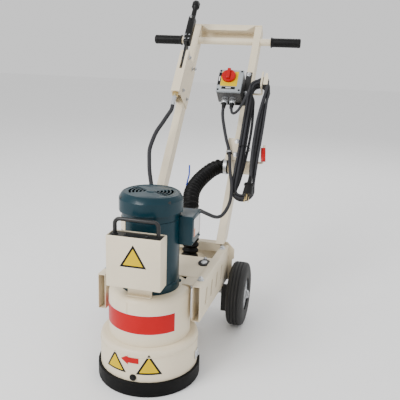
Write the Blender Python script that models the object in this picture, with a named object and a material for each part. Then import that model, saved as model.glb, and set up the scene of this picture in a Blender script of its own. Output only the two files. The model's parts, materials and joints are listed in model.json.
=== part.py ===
"""Walk-behind single-disc concrete grinder, one object for each piece.

Metres, +Z up.  The machine stands on its rubber skirt and its two wheels.
X runs across the machine, -Y is its front (the grinding head) and +Y is the
operator's side.  Pieces of the head are placed from the disc's axis, and
pieces of the handle from the foot of its sloping uprights.
"""

import math

import bmesh
import bpy
from mathutils import Matrix, Vector

# ---------------------------------------------------------------- driving sizes
GAP = 0.0003                   # space between pieces that touch

SKIRT_RADIUS = 0.151           # rubber dust skirt, outside
SKIRT_HEIGHT = 0.0435
SHROUD_RADIUS = 0.143          # lower shroud, outside
SHROUD_TOP = 0.137
SHROUD_BOTTOM = 0.012
SHROUD_WALL = 0.004
SHROUD_FILLET = 0.011
DRUM_RADIUS = 0.119            # upper drum, outside
DRUM_HEIGHT = 0.139
DRUM_WALL = 0.004
DRUM_FILLET = 0.018

DISC_RADIUS = 0.127            # ten-inch grinding disc
DISC_THICKNESS = 0.008
SHOE_HEIGHT = 0.020
SHOE_COUNT = 3
SHOE_CIRCLE = 0.098
SPINDLE_RADIUS = 0.0125
SPINDLE_LENGTH = 0.190
HOUSING_RADIUS = 0.040         # spindle bearing housing
BEARING_RADIUS = 0.026
BEARING_WIDTH = 0.015
COUPLING_RADIUS = 0.027
COUPLING_LENGTH = 0.046

MOTOR_RADIUS = 0.0825
MOTOR_WALL = 0.004
MOTOR_BELL_RADIUS = 0.0845
LOWER_BELL_HEIGHT = 0.024
SHELL_HEIGHT = 0.180
UPPER_BELL_HEIGHT = 0.0295
MOTOR_SHAFT_RADIUS = 0.0095
ROTOR_RADIUS = 0.044
ROTOR_LENGTH = 0.110
STATOR_LENGTH = 0.130
AIR_GAP = 0.0008
FAN_COVER_RADIUS = 0.0921
FAN_COVER_TOP_RADIUS = 0.0816
FAN_COVER_HEIGHT = 0.050
FAN_COVER_FLAT = 0.0028         # how much each side panel is flattened
FAN_COVER_WALL = 0.0025
FAN_COVER_LAP = 0.008          # how far the cover reaches down over the bell
FAN_RADIUS = 0.074
FAN_BLADES = 8

JUNCTION_LENGTH = 0.090        # motor junction box, along Y
JUNCTION_HEIGHT = 0.084
JUNCTION_REACH = 0.121         # outer face from the motor's axis
JUNCTION_FRONT = 0.000
JUNCTION_TOP = 0.489
JUNCTION_GLAND_X = 0.098
JUNCTION_GLAND_DROP = 0.018

WEIGHT_WIDTH = 0.1524          # removable weight box
WEIGHT_DEPTH = 0.0535
WEIGHT_HEIGHT = 0.1433
WEIGHT_BOTTOM = 0.319
WEIGHT_BACK = -0.0895
WEIGHT_WALL = 0.003
WEIGHT_COVER_THICKNESS = 0.003
WEIGHT_COVER_RECESS = 0.003
HANDLE_BAR_RADIUS = 0.0055     # bail handle on the weight box
HANDLE_BAR_SPAN = 0.121
HANDLE_BAR_RISE = 0.042
HANDLE_BAR_BEND = 0.014

CHANNEL_INNER = 0.1305         # side channels, inner face from the middle
CHANNEL_WIDTH = 0.0247
CHANNEL_WALL = 0.003
CHANNEL_FRONT = -0.0204
CHANNEL_TOP_FRONT = 0.2954
CHANNEL_TOP_REAR = 0.2815
CHANNEL_LOW_FRONT = 0.1855
CHANNEL_LOW_REAR = 0.1508
DECK_FRONT = 0.079
DECK_REAR = 0.2465
DECK_THICKNESS = 0.003
CROSS_TUBE_SIZE = 0.030
CROSS_TUBE_FRONT = 0.360
CROSS_TUBE_TOP = 0.292
REAR_PLATE_HALF_WIDTH = 0.1752
REAR_PLATE_THICKNESS = 0.004
REAR_PLATE_CORNER = 0.025

WHEEL_RADIUS = 0.111
WHEEL_WIDTH = 0.0589
WHEEL_INNER = 0.1712           # inner side of each tyre from the middle
WHEEL_Y = 0.376
RIM_RADIUS = 0.066
AXLE_RADIUS = 0.008
AXLE_OVERHANG = 0.008
BRACKET_INNER = 0.1455         # axle brackets
BRACKET_WIDTH = 0.022
BRACKET_WALL = 0.004
BRACKET_LOW = 0.042

HANDLE_FOOT_Y = 0.3766         # foot of the uprights
HANDLE_FOOT_Z = 0.2954
HANDLE_ANGLE = 49.63           # uprights, degrees above the floor
UPRIGHT_SPACING = 0.1292       # middle of each upright from the middle
UPRIGHT_WIDTH = 0.028
UPRIGHT_DEPTH = 0.048
UPRIGHT_WALL = 0.002
UPRIGHT_FACE = 0.015           # front face ahead of the foot line
UPRIGHT_LENGTH = 0.957
BAR_RADIUS = 0.0143
BAR_HEIGHT = 0.886             # handlebar, along the uprights
BAR_HALF_LENGTH = 0.302
GRIP_RADIUS = 0.0185
GRIP_LENGTH = 0.120
GRIP_FLANGE = 0.0215
CAP_HEIGHT = 0.027             # console cap over the uprights
CAP_WALL = 0.003

LEVER_HOUSING_WIDTH = 0.0345
LEVER_HOUSING_FACE = 0.105     # front face ahead of the foot line
LEVER_HOUSING_LOW = 0.5475
LEVER_HOUSING_TOP = 0.745
LEVER_HOUSING_TAIL = 0.560
LEVER_WALL = 0.0025
LEVER_PIVOT_AHEAD = 0.081
LEVER_PIVOT_HEIGHT = 0.727
LEVER_PIN_RADIUS = 0.004
LEVER_BLADE = 0.008
LEVER_SLOT_LOW = 0.655
LEVER_LENGTH = 0.273
LEVER_TAIL = 0.067
KNOB_RADIUS = 0.016
ROD_RADIUS = 0.0035
ROD_GAP = 0.014                # pull rod below the lever's tail
CABLE_AHEAD = 0.092            # cable's end ahead of the foot line
FITTING_LOW = 0.489
FITTING_RADIUS = 0.0066
CABLE_DIAMETER = 0.015

SWITCH_WIDTH = 0.093
SWITCH_DEPTH = 0.062
SWITCH_HEIGHT = 0.101
SWITCH_LOW = 0.566
SWITCH_LEFT = 0.025
SWITCH_LID = 0.011
SWITCH_WALL = 0.003
SWITCH_PLATE = 0.003
SWITCH_KNOB_RADIUS = 0.027
SWITCH_KNOB_HEIGHT = 0.024
GLAND_RADIUS = 0.0105
GLAND_LENGTH = 0.026
GLAND_SPACING = 0.030

OUTLET_RADIUS = 0.0243         # dust outlet pipe behind the right upright
OUTLET_WALL = 0.002
OUTLET_HEIGHT = 0.326
OUTLET_LEFT = 0.0855
OUTLET_RIGHT = 0.180
HOSE_PLATE_LEFT = 0.092
HOSE_PLATE_LOW = 0.313
HOSE_PLATE_TOP = 0.408
HOSE_PLATE_THICKNESS = 0.003
HOSE_LAP = 0.0105               # how far the hose slips over the outlet pipe
HOSE_RADIUS = 0.0285
HOSE_SIDES = 14
PORT_HEIGHT = 0.090
PORT_REACH = 0.178

LEAD_DIAMETER = 0.012
CORD_DIAMETER = 0.010
HANK_RADIUS = 0.042
HANK_VOID = 0.020
HANK_X = 0.180
HANK_LOW = 0.142
HANK_TOP = 0.661
HANK_DEPTH = 0.036
HOOK_RADIUS = 0.004
HANK_AHEAD = 0.0188
PLUG_RADIUS = 0.0175
PLUG_LENGTH = 0.048
PLUG_X = 0.206
PLUG_AHEAD = 0.078
PLUG_TOP = 0.196

# ---------------------------------------------------------------- derived places
HANDLE_TILT = math.radians(90.0 - HANDLE_ANGLE)
HANDLE_REACH = HANDLE_FOOT_Y + (UPRIGHT_LENGTH + GAP + CAP_WALL) * math.sin(HANDLE_TILT) \
    + (UPRIGHT_DEPTH - UPRIGHT_FACE + GAP + CAP_WALL) * math.cos(HANDLE_TILT)
MIDDLE_Y = (HANDLE_REACH - SKIRT_RADIUS) / 2.0
DRUM_BOTTOM = SHROUD_TOP + GAP
DRUM_TOP = DRUM_BOTTOM + DRUM_HEIGHT
LOWER_BELL_BOTTOM = DRUM_TOP + GAP
SHELL_BOTTOM = LOWER_BELL_BOTTOM + LOWER_BELL_HEIGHT + GAP
SHELL_TOP = SHELL_BOTTOM + SHELL_HEIGHT
UPPER_BELL_BOTTOM = SHELL_TOP + GAP
UPPER_BELL_TOP = UPPER_BELL_BOTTOM + UPPER_BELL_HEIGHT
FAN_COVER_BOTTOM = UPPER_BELL_TOP - FAN_COVER_LAP
FAN_COVER_TOP = FAN_COVER_BOTTOM + FAN_COVER_HEIGHT
SHOE_BOTTOM = 0.0015
DISC_BOTTOM = SHOE_BOTTOM + SHOE_HEIGHT + GAP
DISC_TOP = DISC_BOTTOM + DISC_THICKNESS
SPINDLE_BOTTOM = DISC_TOP + GAP
SPINDLE_TOP = SPINDLE_BOTTOM + SPINDLE_LENGTH
MOTOR_SHAFT_BOTTOM = SPINDLE_TOP + 0.002
CHANNEL_OUTER = CHANNEL_INNER + CHANNEL_WIDTH
CHANNEL_REAR = CROSS_TUBE_FRONT + CROSS_TUBE_SIZE
UPRIGHT_BACK = UPRIGHT_FACE - UPRIGHT_DEPTH
HOSE_BORE = (OUTLET_RADIUS + GAP) / math.cos(math.pi / HOSE_SIDES)

CREAM = ("cream_paint", (0.72, 0.66, 0.54), 0.45, 0.0)
TEAL = ("teal_paint", (0.03, 0.13, 0.18), 0.35, 0.1)
BLACK_RUBBER = ("black_rubber", (0.015, 0.015, 0.016), 0.75, 0.0)
TYRE_RUBBER = ("tyre_rubber", (0.02, 0.02, 0.021), 0.8, 0.0)
BLACK_PLASTIC = ("black_plastic", (0.02, 0.02, 0.022), 0.45, 0.0)
BLACK_PAINT = ("black_paint", (0.018, 0.018, 0.02), 0.4, 0.2)
ZINC = ("zinc_plate", (0.62, 0.64, 0.66), 0.35, 1.0)
STEEL = ("machined_steel", (0.5, 0.5, 0.51), 0.3, 1.0)
CAST_IRON = ("cast_iron", (0.12, 0.12, 0.125), 0.6, 0.9)
RED_PLASTIC = ("red_plastic", (0.72, 0.01, 0.015), 0.35, 0.0)
GREY_PLASTIC = ("grey_plastic", (0.16, 0.16, 0.16), 0.5, 0.0)
LIGHT_GREY = ("light_grey_plastic", (0.55, 0.58, 0.6), 0.45, 0.0)
CORD_JACKET = ("cord_jacket", (0.02, 0.02, 0.022), 0.6, 0.0)


# ---------------------------------------------------------------- scene helpers
def clear_scene():
    for item in list(bpy.data.objects):
        bpy.data.objects.remove(item, do_unlink=True)


def material(finish):
    name, colour, roughness, metallic = finish
    found = bpy.data.materials.get(name)
    if found:
        return found
    made = bpy.data.materials.new(name)
    made.use_nodes = True
    shader = made.node_tree.nodes["Principled BSDF"]
    shader.inputs["Base Color"].default_value = (*colour, 1.0)
    shader.inputs["Roughness"].default_value = roughness
    shader.inputs["Metallic"].default_value = metallic
    return made


def add_empty(name, location, tilt=0.0, parent=None):
    empty = bpy.data.objects.new(name, None)
    empty.location = location
    empty.rotation_euler = (tilt, 0.0, 0.0)
    empty.parent = parent
    bpy.context.scene.collection.objects.link(empty)
    return empty


def add_piece(name, bm, finish, parent, location=(0.0, 0.0, 0.0), smooth=40.0):
    """Turn a bmesh into a named object, placed under its parent."""
    bmesh.ops.remove_doubles(bm, verts=bm.verts, dist=1e-6)
    bmesh.ops.recalc_face_normals(bm, faces=bm.faces)
    mesh = bpy.data.meshes.new(name)
    bm.to_mesh(mesh)
    bm.free()
    if smooth:
        mesh.shade_smooth()
        mesh.set_sharp_from_angle(angle=math.radians(smooth))
    if finish:
        mesh.materials.append(material(finish))
    piece = bpy.data.objects.new(name, mesh)
    piece.location = location
    piece.parent = parent
    bpy.context.scene.collection.objects.link(piece)
    return piece


def boolean(piece, tool, operation="DIFFERENCE"):
    tool.hide_render = True
    tool.display_type = "WIRE"
    cut = piece.modifiers.new(operation.lower(), "BOOLEAN")
    cut.operation = operation
    cut.solver = "EXACT"
    cut.object = tool
    return piece


# ---------------------------------------------------------------- shape helpers
def box_bm(low, high):
    bm = bmesh.new()
    bmesh.ops.create_cube(bm, size=1.0)
    size = [high[i] - low[i] for i in range(3)]
    middle = [(high[i] + low[i]) / 2.0 for i in range(3)]
    bmesh.ops.scale(bm, vec=size, verts=bm.verts)
    bmesh.ops.translate(bm, vec=middle, verts=bm.verts)
    return bm


def rounded_box_bm(low, high, radius, segments=2):
    bm = box_bm(low, high)
    bmesh.ops.bevel(bm, geom=bm.edges[:], offset=radius, segments=segments, profile=0.5,
                    affect="EDGES", clamp_overlap=True)
    return bm


def turned_bm(profile, sides, closed=True):
    """Spin (radius, height) points about Z; an open profile starts and ends on the axis."""
    bm = bmesh.new()
    points = [bm.verts.new((radius, 0.0, height)) for radius, height in profile]
    edges = [bm.edges.new(pair) for pair in zip(points, points[1:])]
    if closed:
        edges.append(bm.edges.new((points[-1], points[0])))
    bmesh.ops.spin(bm, geom=points + edges, cent=(0, 0, 0), axis=(0, 0, 1), dvec=(0, 0, 0),
                   angle=math.tau, steps=sides, use_merge=True, use_duplicate=False)
    bmesh.ops.remove_doubles(bm, verts=bm.verts, dist=1e-6)
    bmesh.ops.dissolve_degenerate(bm, edges=bm.edges, dist=1e-7)
    return bm


def ring_bm(inner, outer, low, high, sides):
    return turned_bm([(inner, low), (outer, low), (outer, high), (inner, high)], sides)


def rod_bm(radius, low, high, sides=16, chamfer=0.0):
    profile = [(0.0, low), (radius - chamfer, low), (radius, low + chamfer), (radius, high - chamfer),
               (radius - chamfer, high), (0.0, high)]
    return turned_bm(profile, sides, closed=False)


def arc(centre_r, centre_z, radius, start, end, steps):
    """Points of a round corner, angles in degrees from +radius towards +Z."""
    turn = [math.radians(start + (end - start) * i / steps) for i in range(steps + 1)]
    return [(centre_r + radius * math.cos(a), centre_z + radius * math.sin(a)) for a in turn]


def extruded_bm(outline, low, high, plane="YZ"):
    """Prism of a closed outline; plane names the two directions of its points."""
    place = {"YZ": lambda u, v, w: (w, u, v), "XZ": lambda u, v, w: (u, w, v),
             "XY": lambda u, v, w: (u, v, w)}[plane]
    bm = bmesh.new()
    face = bm.faces.new([bm.verts.new(place(u, v, low)) for u, v in outline])
    grown = bmesh.ops.extrude_face_region(bm, geom=[face])
    move = Vector(place(0.0, 0.0, high)) - Vector(place(0.0, 0.0, low))
    bmesh.ops.translate(bm, vec=move, verts=[v for v in grown["geom"] if isinstance(v, bmesh.types.BMVert)])
    return bm


def racetrack(centre, half_length, radius, steps=8):
    """Outline with round ends, long way up."""
    points = []
    for start, shift in ((0.0, half_length - radius), (180.0, radius - half_length)):
        for i in range(steps + 1):
            turn = math.radians(start + 180.0 * i / steps)
            points.append((centre[0] + radius * math.cos(turn),
                           centre[1] + shift + radius * math.sin(turn)))
    return points


def turn_bm(bm, angle, axis, about=(0.0, 0.0, 0.0)):
    bmesh.ops.rotate(bm, verts=bm.verts, cent=about, matrix=Matrix.Rotation(angle, 3, axis))
    return bm


def move_bm(bm, by):
    bmesh.ops.translate(bm, vec=by, verts=bm.verts)
    return bm


def smooth_route(points, spacing):
    """Points of a Catmull-Rom curve through the route, about one spacing apart."""
    knots = [Vector(p) for p in points]
    knots = [knots[0] * 2 - knots[1]] + knots + [knots[-1] * 2 - knots[-2]]
    made = []
    for a, b, c, d in zip(knots, knots[1:], knots[2:], knots[3:]):
        steps = max(1, round((c - b).length / spacing))
        for i in range(steps):
            t = i / steps
            made.append(0.5 * (2 * b + (c - a) * t + (2 * a - 5 * b + 4 * c - d) * t * t
                               + (3 * b - a - 3 * c + d) * t ** 3))
    made.append(knots[-2])
    return made


def swept_bm(points, outer, inner, sides):
    """Tube wall, or a solid bar when inner is 0, swept along points."""
    rings = []
    bm = bmesh.new()
    across = None
    for i, point in enumerate(points):
        along = (points[min(i + 1, len(points) - 1)] - points[max(i - 1, 0)]).normalized()
        if across is None:
            across = along.orthogonal().normalized()
        across = (across - along * across.dot(along)).normalized()
        upright = along.cross(across)
        ring = []
        for radius in ((outer, inner) if inner else (outer,)):
            ring.append([bm.verts.new(point + across * radius * math.cos(math.tau * k / sides)
                                      + upright * radius * math.sin(math.tau * k / sides))
                         for k in range(sides)])
        rings.append(ring)
    for wall in range(len(rings[0])):
        for first, second in zip(rings, rings[1:]):
            for k in range(sides):
                n = (k + 1) % sides
                bm.faces.new((first[wall][k], first[wall][n], second[wall][n], second[wall][k]))
    for ring in (rings[0], rings[-1]):
        if inner:
            for k in range(sides):
                n = (k + 1) % sides
                bm.faces.new((ring[0][k], ring[0][n], ring[1][n], ring[1][k]))
        else:
            bm.faces.new(ring[0])
    return bm


def cord_piece(name, route, diameter, finish, parent, spacing=2.4, roundness=3):
    """A cord as a curve object with filled ends."""
    curve = bpy.data.curves.new(name, "CURVE")
    curve.dimensions = "3D"
    curve.bevel_depth = diameter / 2.0
    curve.bevel_resolution = roundness
    curve.use_fill_caps = True
    points = smooth_route(route, spacing * diameter)
    spline = curve.splines.new("POLY")
    spline.points.add(len(points) - 1)
    for slot, point in zip(spline.points, points):
        slot.co = (*point, 1.0)
    curve.materials.append(material(finish))
    piece = bpy.data.objects.new(name, curve)
    piece.parent = parent
    bpy.context.scene.collection.objects.link(piece)
    return piece


def on_handle(x, ahead, height):
    """A point of the handle, in the handle frame: ahead is towards the front."""
    return Vector((x, -ahead, height))


def handle_to_machine(x, ahead, height):
    """The same point in the machine frame."""
    tilt = Matrix.Rotation(-HANDLE_TILT, 3, "X")
    return tilt @ on_handle(x, ahead, height) + Vector((0.0, HANDLE_FOOT_Y, HANDLE_FOOT_Z))


# ---------------------------------------------------------------- grinding head
def rubber_skirt(machine):
    bm = turned_bm([(SHROUD_RADIUS + GAP, 0.0), (SKIRT_RADIUS - 0.002, 0.0), (SKIRT_RADIUS, 0.002),
                    (SKIRT_RADIUS, SKIRT_HEIGHT - 0.0015), (SKIRT_RADIUS - 0.0015, SKIRT_HEIGHT),
                    (SHROUD_RADIUS + GAP, SKIRT_HEIGHT)], 40)
    return add_piece("rubber_skirt", bm, BLACK_RUBBER, machine)


def lower_shroud(machine):
    inner = SHROUD_RADIUS - SHROUD_WALL
    corner = SHROUD_TOP - SHROUD_FILLET
    profile = [(inner, SHROUD_BOTTOM), (SHROUD_RADIUS, SHROUD_BOTTOM)]
    profile += arc(SHROUD_RADIUS - SHROUD_FILLET, corner, SHROUD_FILLET, 0.0, 90.0, 3)
    profile += [(HOUSING_RADIUS + GAP, SHROUD_TOP), (HOUSING_RADIUS + GAP, SHROUD_TOP - SHROUD_WALL),
                (inner - 0.004, SHROUD_TOP - SHROUD_WALL), (inner, SHROUD_TOP - SHROUD_WALL - 0.004)]
    shroud = add_piece("lower_shroud", turned_bm(profile, 40), CREAM, machine)
    hole = rod_bm(OUTLET_RADIUS - 0.001, 0.0, 0.08, 28)
    turn_bm(hole, math.radians(-90.0), "X")
    move_bm(hole, (0.0, SHROUD_RADIUS - 0.05, PORT_HEIGHT))
    boolean(shroud, add_piece("cut_dust_port", hole, None, machine))
    port = ring_bm(OUTLET_RADIUS - OUTLET_WALL, OUTLET_RADIUS, 0.0, PORT_REACH - SHROUD_RADIUS + 0.006, 28)
    turn_bm(port, math.radians(-90.0), "X")
    move_bm(port, (0.0, SHROUD_RADIUS - 0.006, PORT_HEIGHT))
    return boolean(shroud, add_piece("join_dust_port", port, CREAM, machine), "UNION")


def drum_housing(machine):
    inner = DRUM_RADIUS - DRUM_WALL
    corner = DRUM_TOP - DRUM_FILLET
    profile = [(inner, DRUM_BOTTOM), (DRUM_RADIUS, DRUM_BOTTOM)]
    profile += arc(DRUM_RADIUS - DRUM_FILLET, corner, DRUM_FILLET, 0.0, 90.0, 3)
    inside = arc(DRUM_RADIUS - DRUM_FILLET, corner, DRUM_FILLET - DRUM_WALL, 90.0, 0.0, 2)
    profile += [(0.034, DRUM_TOP), (0.034, DRUM_TOP - DRUM_WALL)] + inside
    return add_piece("drum_housing", turned_bm(profile, 40), CREAM, machine)


def bearing_housing(machine):
    low = SHROUD_TOP - SHROUD_WALL
    seat = BEARING_RADIUS + GAP
    seat_low = DRUM_BOTTOM + 0.030
    top = seat_low + BEARING_WIDTH + 0.004
    bore = SPINDLE_RADIUS + 0.003
    profile = [(bore, low), (HOUSING_RADIUS, low), (HOUSING_RADIUS, DRUM_BOTTOM), (0.075, DRUM_BOTTOM),
               (0.075, DRUM_BOTTOM + 0.008), (HOUSING_RADIUS, DRUM_BOTTOM + 0.012), (HOUSING_RADIUS, top),
               (seat, top), (seat, seat_low), (bore, seat_low)]
    return add_piece("bearing_housing", turned_bm(profile, 24), CAST_IRON, machine)


def spindle_bearing(machine):
    low = DRUM_BOTTOM + 0.030 + GAP
    bm = ring_bm(SPINDLE_RADIUS + GAP, BEARING_RADIUS, low, low + BEARING_WIDTH, 24)
    return add_piece("spindle_bearing", bm, STEEL, machine)


def spindle(disc):
    flange = 0.040
    bm = turned_bm([(0.0, SPINDLE_BOTTOM), (flange, SPINDLE_BOTTOM), (flange, SPINDLE_BOTTOM + 0.012),
                    (0.016, SPINDLE_BOTTOM + 0.018), (SPINDLE_RADIUS + 0.0022, SPINDLE_BOTTOM + 0.050),
                    (SPINDLE_RADIUS, SPINDLE_BOTTOM + 0.052), (SPINDLE_RADIUS, SPINDLE_TOP),
                    (0.0, SPINDLE_TOP)], 20, closed=False)
    return add_piece("spindle", bm, STEEL, disc)


def drive_coupling(disc):
    low = SPINDLE_TOP - COUPLING_LENGTH / 2.0
    step = SPINDLE_TOP + 0.001
    spindle_bore = SPINDLE_RADIUS + GAP
    shaft_bore = MOTOR_SHAFT_RADIUS + GAP
    bm = turned_bm([(spindle_bore, low), (COUPLING_RADIUS, low), (COUPLING_RADIUS, low + COUPLING_LENGTH),
                    (shaft_bore, low + COUPLING_LENGTH), (shaft_bore, step), (spindle_bore, step)], 20)
    return add_piece("drive_coupling", bm, STEEL, disc)


def grinding_disc(disc):
    bm = turned_bm([(0.0, DISC_BOTTOM), (DISC_RADIUS - 0.002, DISC_BOTTOM), (DISC_RADIUS, DISC_BOTTOM + 0.002),
                    (DISC_RADIUS, DISC_TOP), (0.0, DISC_TOP)], 36, closed=False)
    return add_piece("disc_plate", bm, STEEL, disc)


def grinding_shoes(disc):
    for index in range(SHOE_COUNT):
        bm = rounded_box_bm((-0.020, SHOE_CIRCLE - 0.024, SHOE_BOTTOM),
                            (0.020, SHOE_CIRCLE + 0.024, SHOE_BOTTOM + SHOE_HEIGHT), 0.002, 1)
        turn_bm(bm, math.tau * index / SHOE_COUNT, "Z")
        add_piece(f"grinding_shoe_{index + 1}", bm, CAST_IRON, disc)


# ---------------------------------------------------------------- motor
def motor_lower_bell(machine):
    seat = 0.0205
    bore = MOTOR_SHAFT_RADIUS + 0.0025
    low, top = LOWER_BELL_BOTTOM, LOWER_BELL_BOTTOM + LOWER_BELL_HEIGHT
    profile = [(bore, low), (MOTOR_BELL_RADIUS, low), (MOTOR_BELL_RADIUS, top - 0.002),
               (MOTOR_BELL_RADIUS - 0.002, top), (seat, top), (seat, low + 0.008), (bore, low + 0.008)]
    return add_piece("motor_lower_bell", turned_bm(profile, 32), TEAL, machine)


def motor_bearing(machine):
    low = LOWER_BELL_BOTTOM + 0.008 + GAP
    bm = ring_bm(MOTOR_SHAFT_RADIUS + GAP, 0.0205 - GAP, low, low + 0.012, 24)
    return add_piece("motor_bearing", bm, STEEL, machine)


def motor_shell(machine):
    bm = ring_bm(MOTOR_RADIUS - MOTOR_WALL, MOTOR_RADIUS, SHELL_BOTTOM, SHELL_TOP, 36)
    return add_piece("motor_shell", bm, TEAL, machine)


def motor_upper_bell(machine):
    low, top = UPPER_BELL_BOTTOM, UPPER_BELL_TOP
    bore = MOTOR_SHAFT_RADIUS + 0.0015
    rim = MOTOR_RADIUS - 0.001
    flange = FAN_COVER_RADIUS - FAN_COVER_WALL - FAN_COVER_FLAT - GAP
    profile = [(bore, top - 0.010), (rim - 0.010, top - 0.010), (rim - 0.010, low), (rim, low),
               (rim, top - FAN_COVER_LAP), (flange, top - FAN_COVER_LAP + 0.003), (flange, top), (bore, top)]
    return add_piece("motor_upper_bell", turned_bm(profile, 32), TEAL, machine)


def fan_cover_outline(radius, flat, count=8, steps=4):
    """Round outline with slightly flattened facets between the screws."""
    points = []
    for i in range(count * steps):
        turn = math.tau * i / (count * steps)
        swing = abs(((turn * count / math.tau) % 1.0) - 0.5) * 2.0
        points.append(((radius - flat * (1.0 - swing ** 2)) * math.cos(turn),
                       (radius - flat * (1.0 - swing ** 2)) * math.sin(turn)))
    return points


def lofted_bm(levels):
    """Shell or solid through stacked outlines (outline, height), ends filled."""
    bm = bmesh.new()
    rings = [[bm.verts.new((x, y, height)) for x, y in outline] for outline, height in levels]
    count = len(rings[0])
    for first, second in zip(rings, rings[1:]):
        for k in range(count):
            n = (k + 1) % count
            bm.faces.new((first[k], first[n], second[n], second[k]))
    bm.faces.new(rings[0])
    bm.faces.new(rings[-1])
    return bm


def fan_cover(machine):
    low, top, wall = FAN_COVER_BOTTOM, FAN_COVER_TOP, FAN_COVER_WALL
    side = fan_cover_outline(FAN_COVER_RADIUS, FAN_COVER_FLAT)
    crown = fan_cover_outline(FAN_COVER_TOP_RADIUS, 0.0)
    inner_side = fan_cover_outline(FAN_COVER_RADIUS - wall, FAN_COVER_FLAT)
    inner_crown = fan_cover_outline(FAN_COVER_TOP_RADIUS - wall, 0.0)
    shoulder = top - 0.016
    levels = [(side, low), (side, shoulder), (crown, top - 0.0022),
              (fan_cover_outline(FAN_COVER_TOP_RADIUS - 0.004, 0.0), top)]
    cover = add_piece("fan_cover", lofted_bm(levels), TEAL, machine)
    inside = [(inner_side, low - 0.01), (inner_side, shoulder), (inner_crown, top - wall - 0.0022),
              (fan_cover_outline(FAN_COVER_TOP_RADIUS - 0.004 - wall, 0.0), top - wall)]
    boolean(cover, add_piece("cut_fan_cover_inside", lofted_bm(inside), None, machine))
    slots = bmesh.new()
    for middle in (0.0, 180.0):
        for row in range(5):
            radius = 0.020 + 0.010 * row
            sweep = 36.0 if row else 30.0
            add_arc_slot(slots, radius, 0.0032, middle, sweep, top - 0.012, top + 0.004)
    return boolean(cover, add_piece("cut_fan_cover_slots", slots, None, machine))


def add_arc_slot(bm, radius, half_width, middle, half_sweep, low, high, steps=4):
    """Add one curved slot to a cutter."""
    angles = [math.radians(middle - half_sweep + 2 * half_sweep * i / steps) for i in range(steps + 1)]
    outline = [((radius + half_width) * math.cos(a), (radius + half_width) * math.sin(a)) for a in angles]
    outline += [((radius - half_width) * math.cos(a), (radius - half_width) * math.sin(a))
                for a in reversed(angles)]
    face = bm.faces.new([bm.verts.new((x, y, low)) for x, y in outline])
    grown = bmesh.ops.extrude_face_region(bm, geom=[face])
    moved = [item for item in grown["geom"] if isinstance(item, bmesh.types.BMVert)]
    bmesh.ops.translate(bm, vec=(0.0, 0.0, high - low), verts=moved)


def cooling_fan(disc):
    low = UPPER_BELL_TOP + 0.004
    hub_radius = 0.022
    height = 0.024
    bore = MOTOR_SHAFT_RADIUS + GAP
    fan = add_piece("cooling_fan", turned_bm([(bore, low), (FAN_RADIUS, low), (FAN_RADIUS, low + 0.0025),
                                              (hub_radius, low + 0.0025), (hub_radius, low + height),
                                              (bore, low + height)], 24), BLACK_PLASTIC, disc)
    blades = bmesh.new()
    for index in range(FAN_BLADES):
        turn = Matrix.Rotation(math.tau * index / FAN_BLADES, 4, "Z")
        made = bmesh.ops.create_cube(blades, size=1.0)["verts"]
        reach = FAN_RADIUS - hub_radius
        bmesh.ops.scale(blades, vec=(reach, 0.002, height - 0.003), verts=made)
        bmesh.ops.translate(blades, vec=(hub_radius + reach / 2.0 - 0.002, 0.0, low + height / 2.0 + 0.0005),
                            verts=made)
        bmesh.ops.transform(blades, matrix=turn, verts=made)
    return boolean(fan, add_piece("join_fan_blades", blades, BLACK_PLASTIC, disc), "UNION")


def motor_shaft(disc):
    top = UPPER_BELL_TOP + 0.030
    bm = rod_bm(MOTOR_SHAFT_RADIUS, MOTOR_SHAFT_BOTTOM, top, 20, 0.001)
    return add_piece("motor_shaft", bm, STEEL, disc)


def rotor_core(disc):
    middle = (SHELL_BOTTOM + SHELL_TOP) / 2.0
    bm = ring_bm(MOTOR_SHAFT_RADIUS + GAP, ROTOR_RADIUS, middle - ROTOR_LENGTH / 2.0,
                 middle + ROTOR_LENGTH / 2.0, 24)
    return add_piece("rotor_core", bm, STEEL, disc)


def stator_core(machine):
    middle = (SHELL_BOTTOM + SHELL_TOP) / 2.0
    bm = ring_bm(ROTOR_RADIUS + AIR_GAP, MOTOR_RADIUS - MOTOR_WALL - GAP, middle - STATOR_LENGTH / 2.0,
                 middle + STATOR_LENGTH / 2.0, 36)
    return add_piece("stator_core", bm, CAST_IRON, machine)


def junction_box(machine):
    rear = JUNCTION_FRONT + JUNCTION_LENGTH
    bm = rounded_box_bm((0.060, JUNCTION_FRONT, JUNCTION_TOP - JUNCTION_HEIGHT),
                        (JUNCTION_REACH, rear, JUNCTION_TOP), 0.003)
    body = add_piece("junction_box", bm, TEAL, machine)
    saddle = rod_bm(MOTOR_RADIUS + GAP, JUNCTION_TOP - JUNCTION_HEIGHT - 0.01, JUNCTION_TOP + 0.01, 36)
    boolean(body, add_piece("cut_junction_saddle", saddle, None, machine))
    gland = rod_bm(0.0095, 0.0, 0.024, 16, 0.0015)
    turn_bm(gland, math.radians(-90.0), "X")
    move_bm(gland, (JUNCTION_GLAND_X, rear - 0.002, JUNCTION_TOP - JUNCTION_GLAND_DROP))
    return boolean(body, add_piece("join_junction_gland", gland, TEAL, machine), "UNION")


# ---------------------------------------------------------------- weight box
def weight_low_high():
    low = Vector((-WEIGHT_WIDTH / 2.0, WEIGHT_BACK - WEIGHT_DEPTH, WEIGHT_BOTTOM))
    high = Vector((WEIGHT_WIDTH / 2.0, WEIGHT_BACK, WEIGHT_BOTTOM + WEIGHT_HEIGHT))
    return low, high


def weight_box(machine):
    low, high = weight_low_high()
    box = add_piece("weight_box", rounded_box_bm(low, high, 0.0025), CREAM, machine)
    wall = Vector((WEIGHT_WALL, WEIGHT_WALL, WEIGHT_WALL))
    inside = box_bm(low + wall, high - Vector((WEIGHT_WALL, WEIGHT_WALL, -0.01)))
    return boolean(box, add_piece("cut_weight_inside", inside, None, machine))


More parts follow.
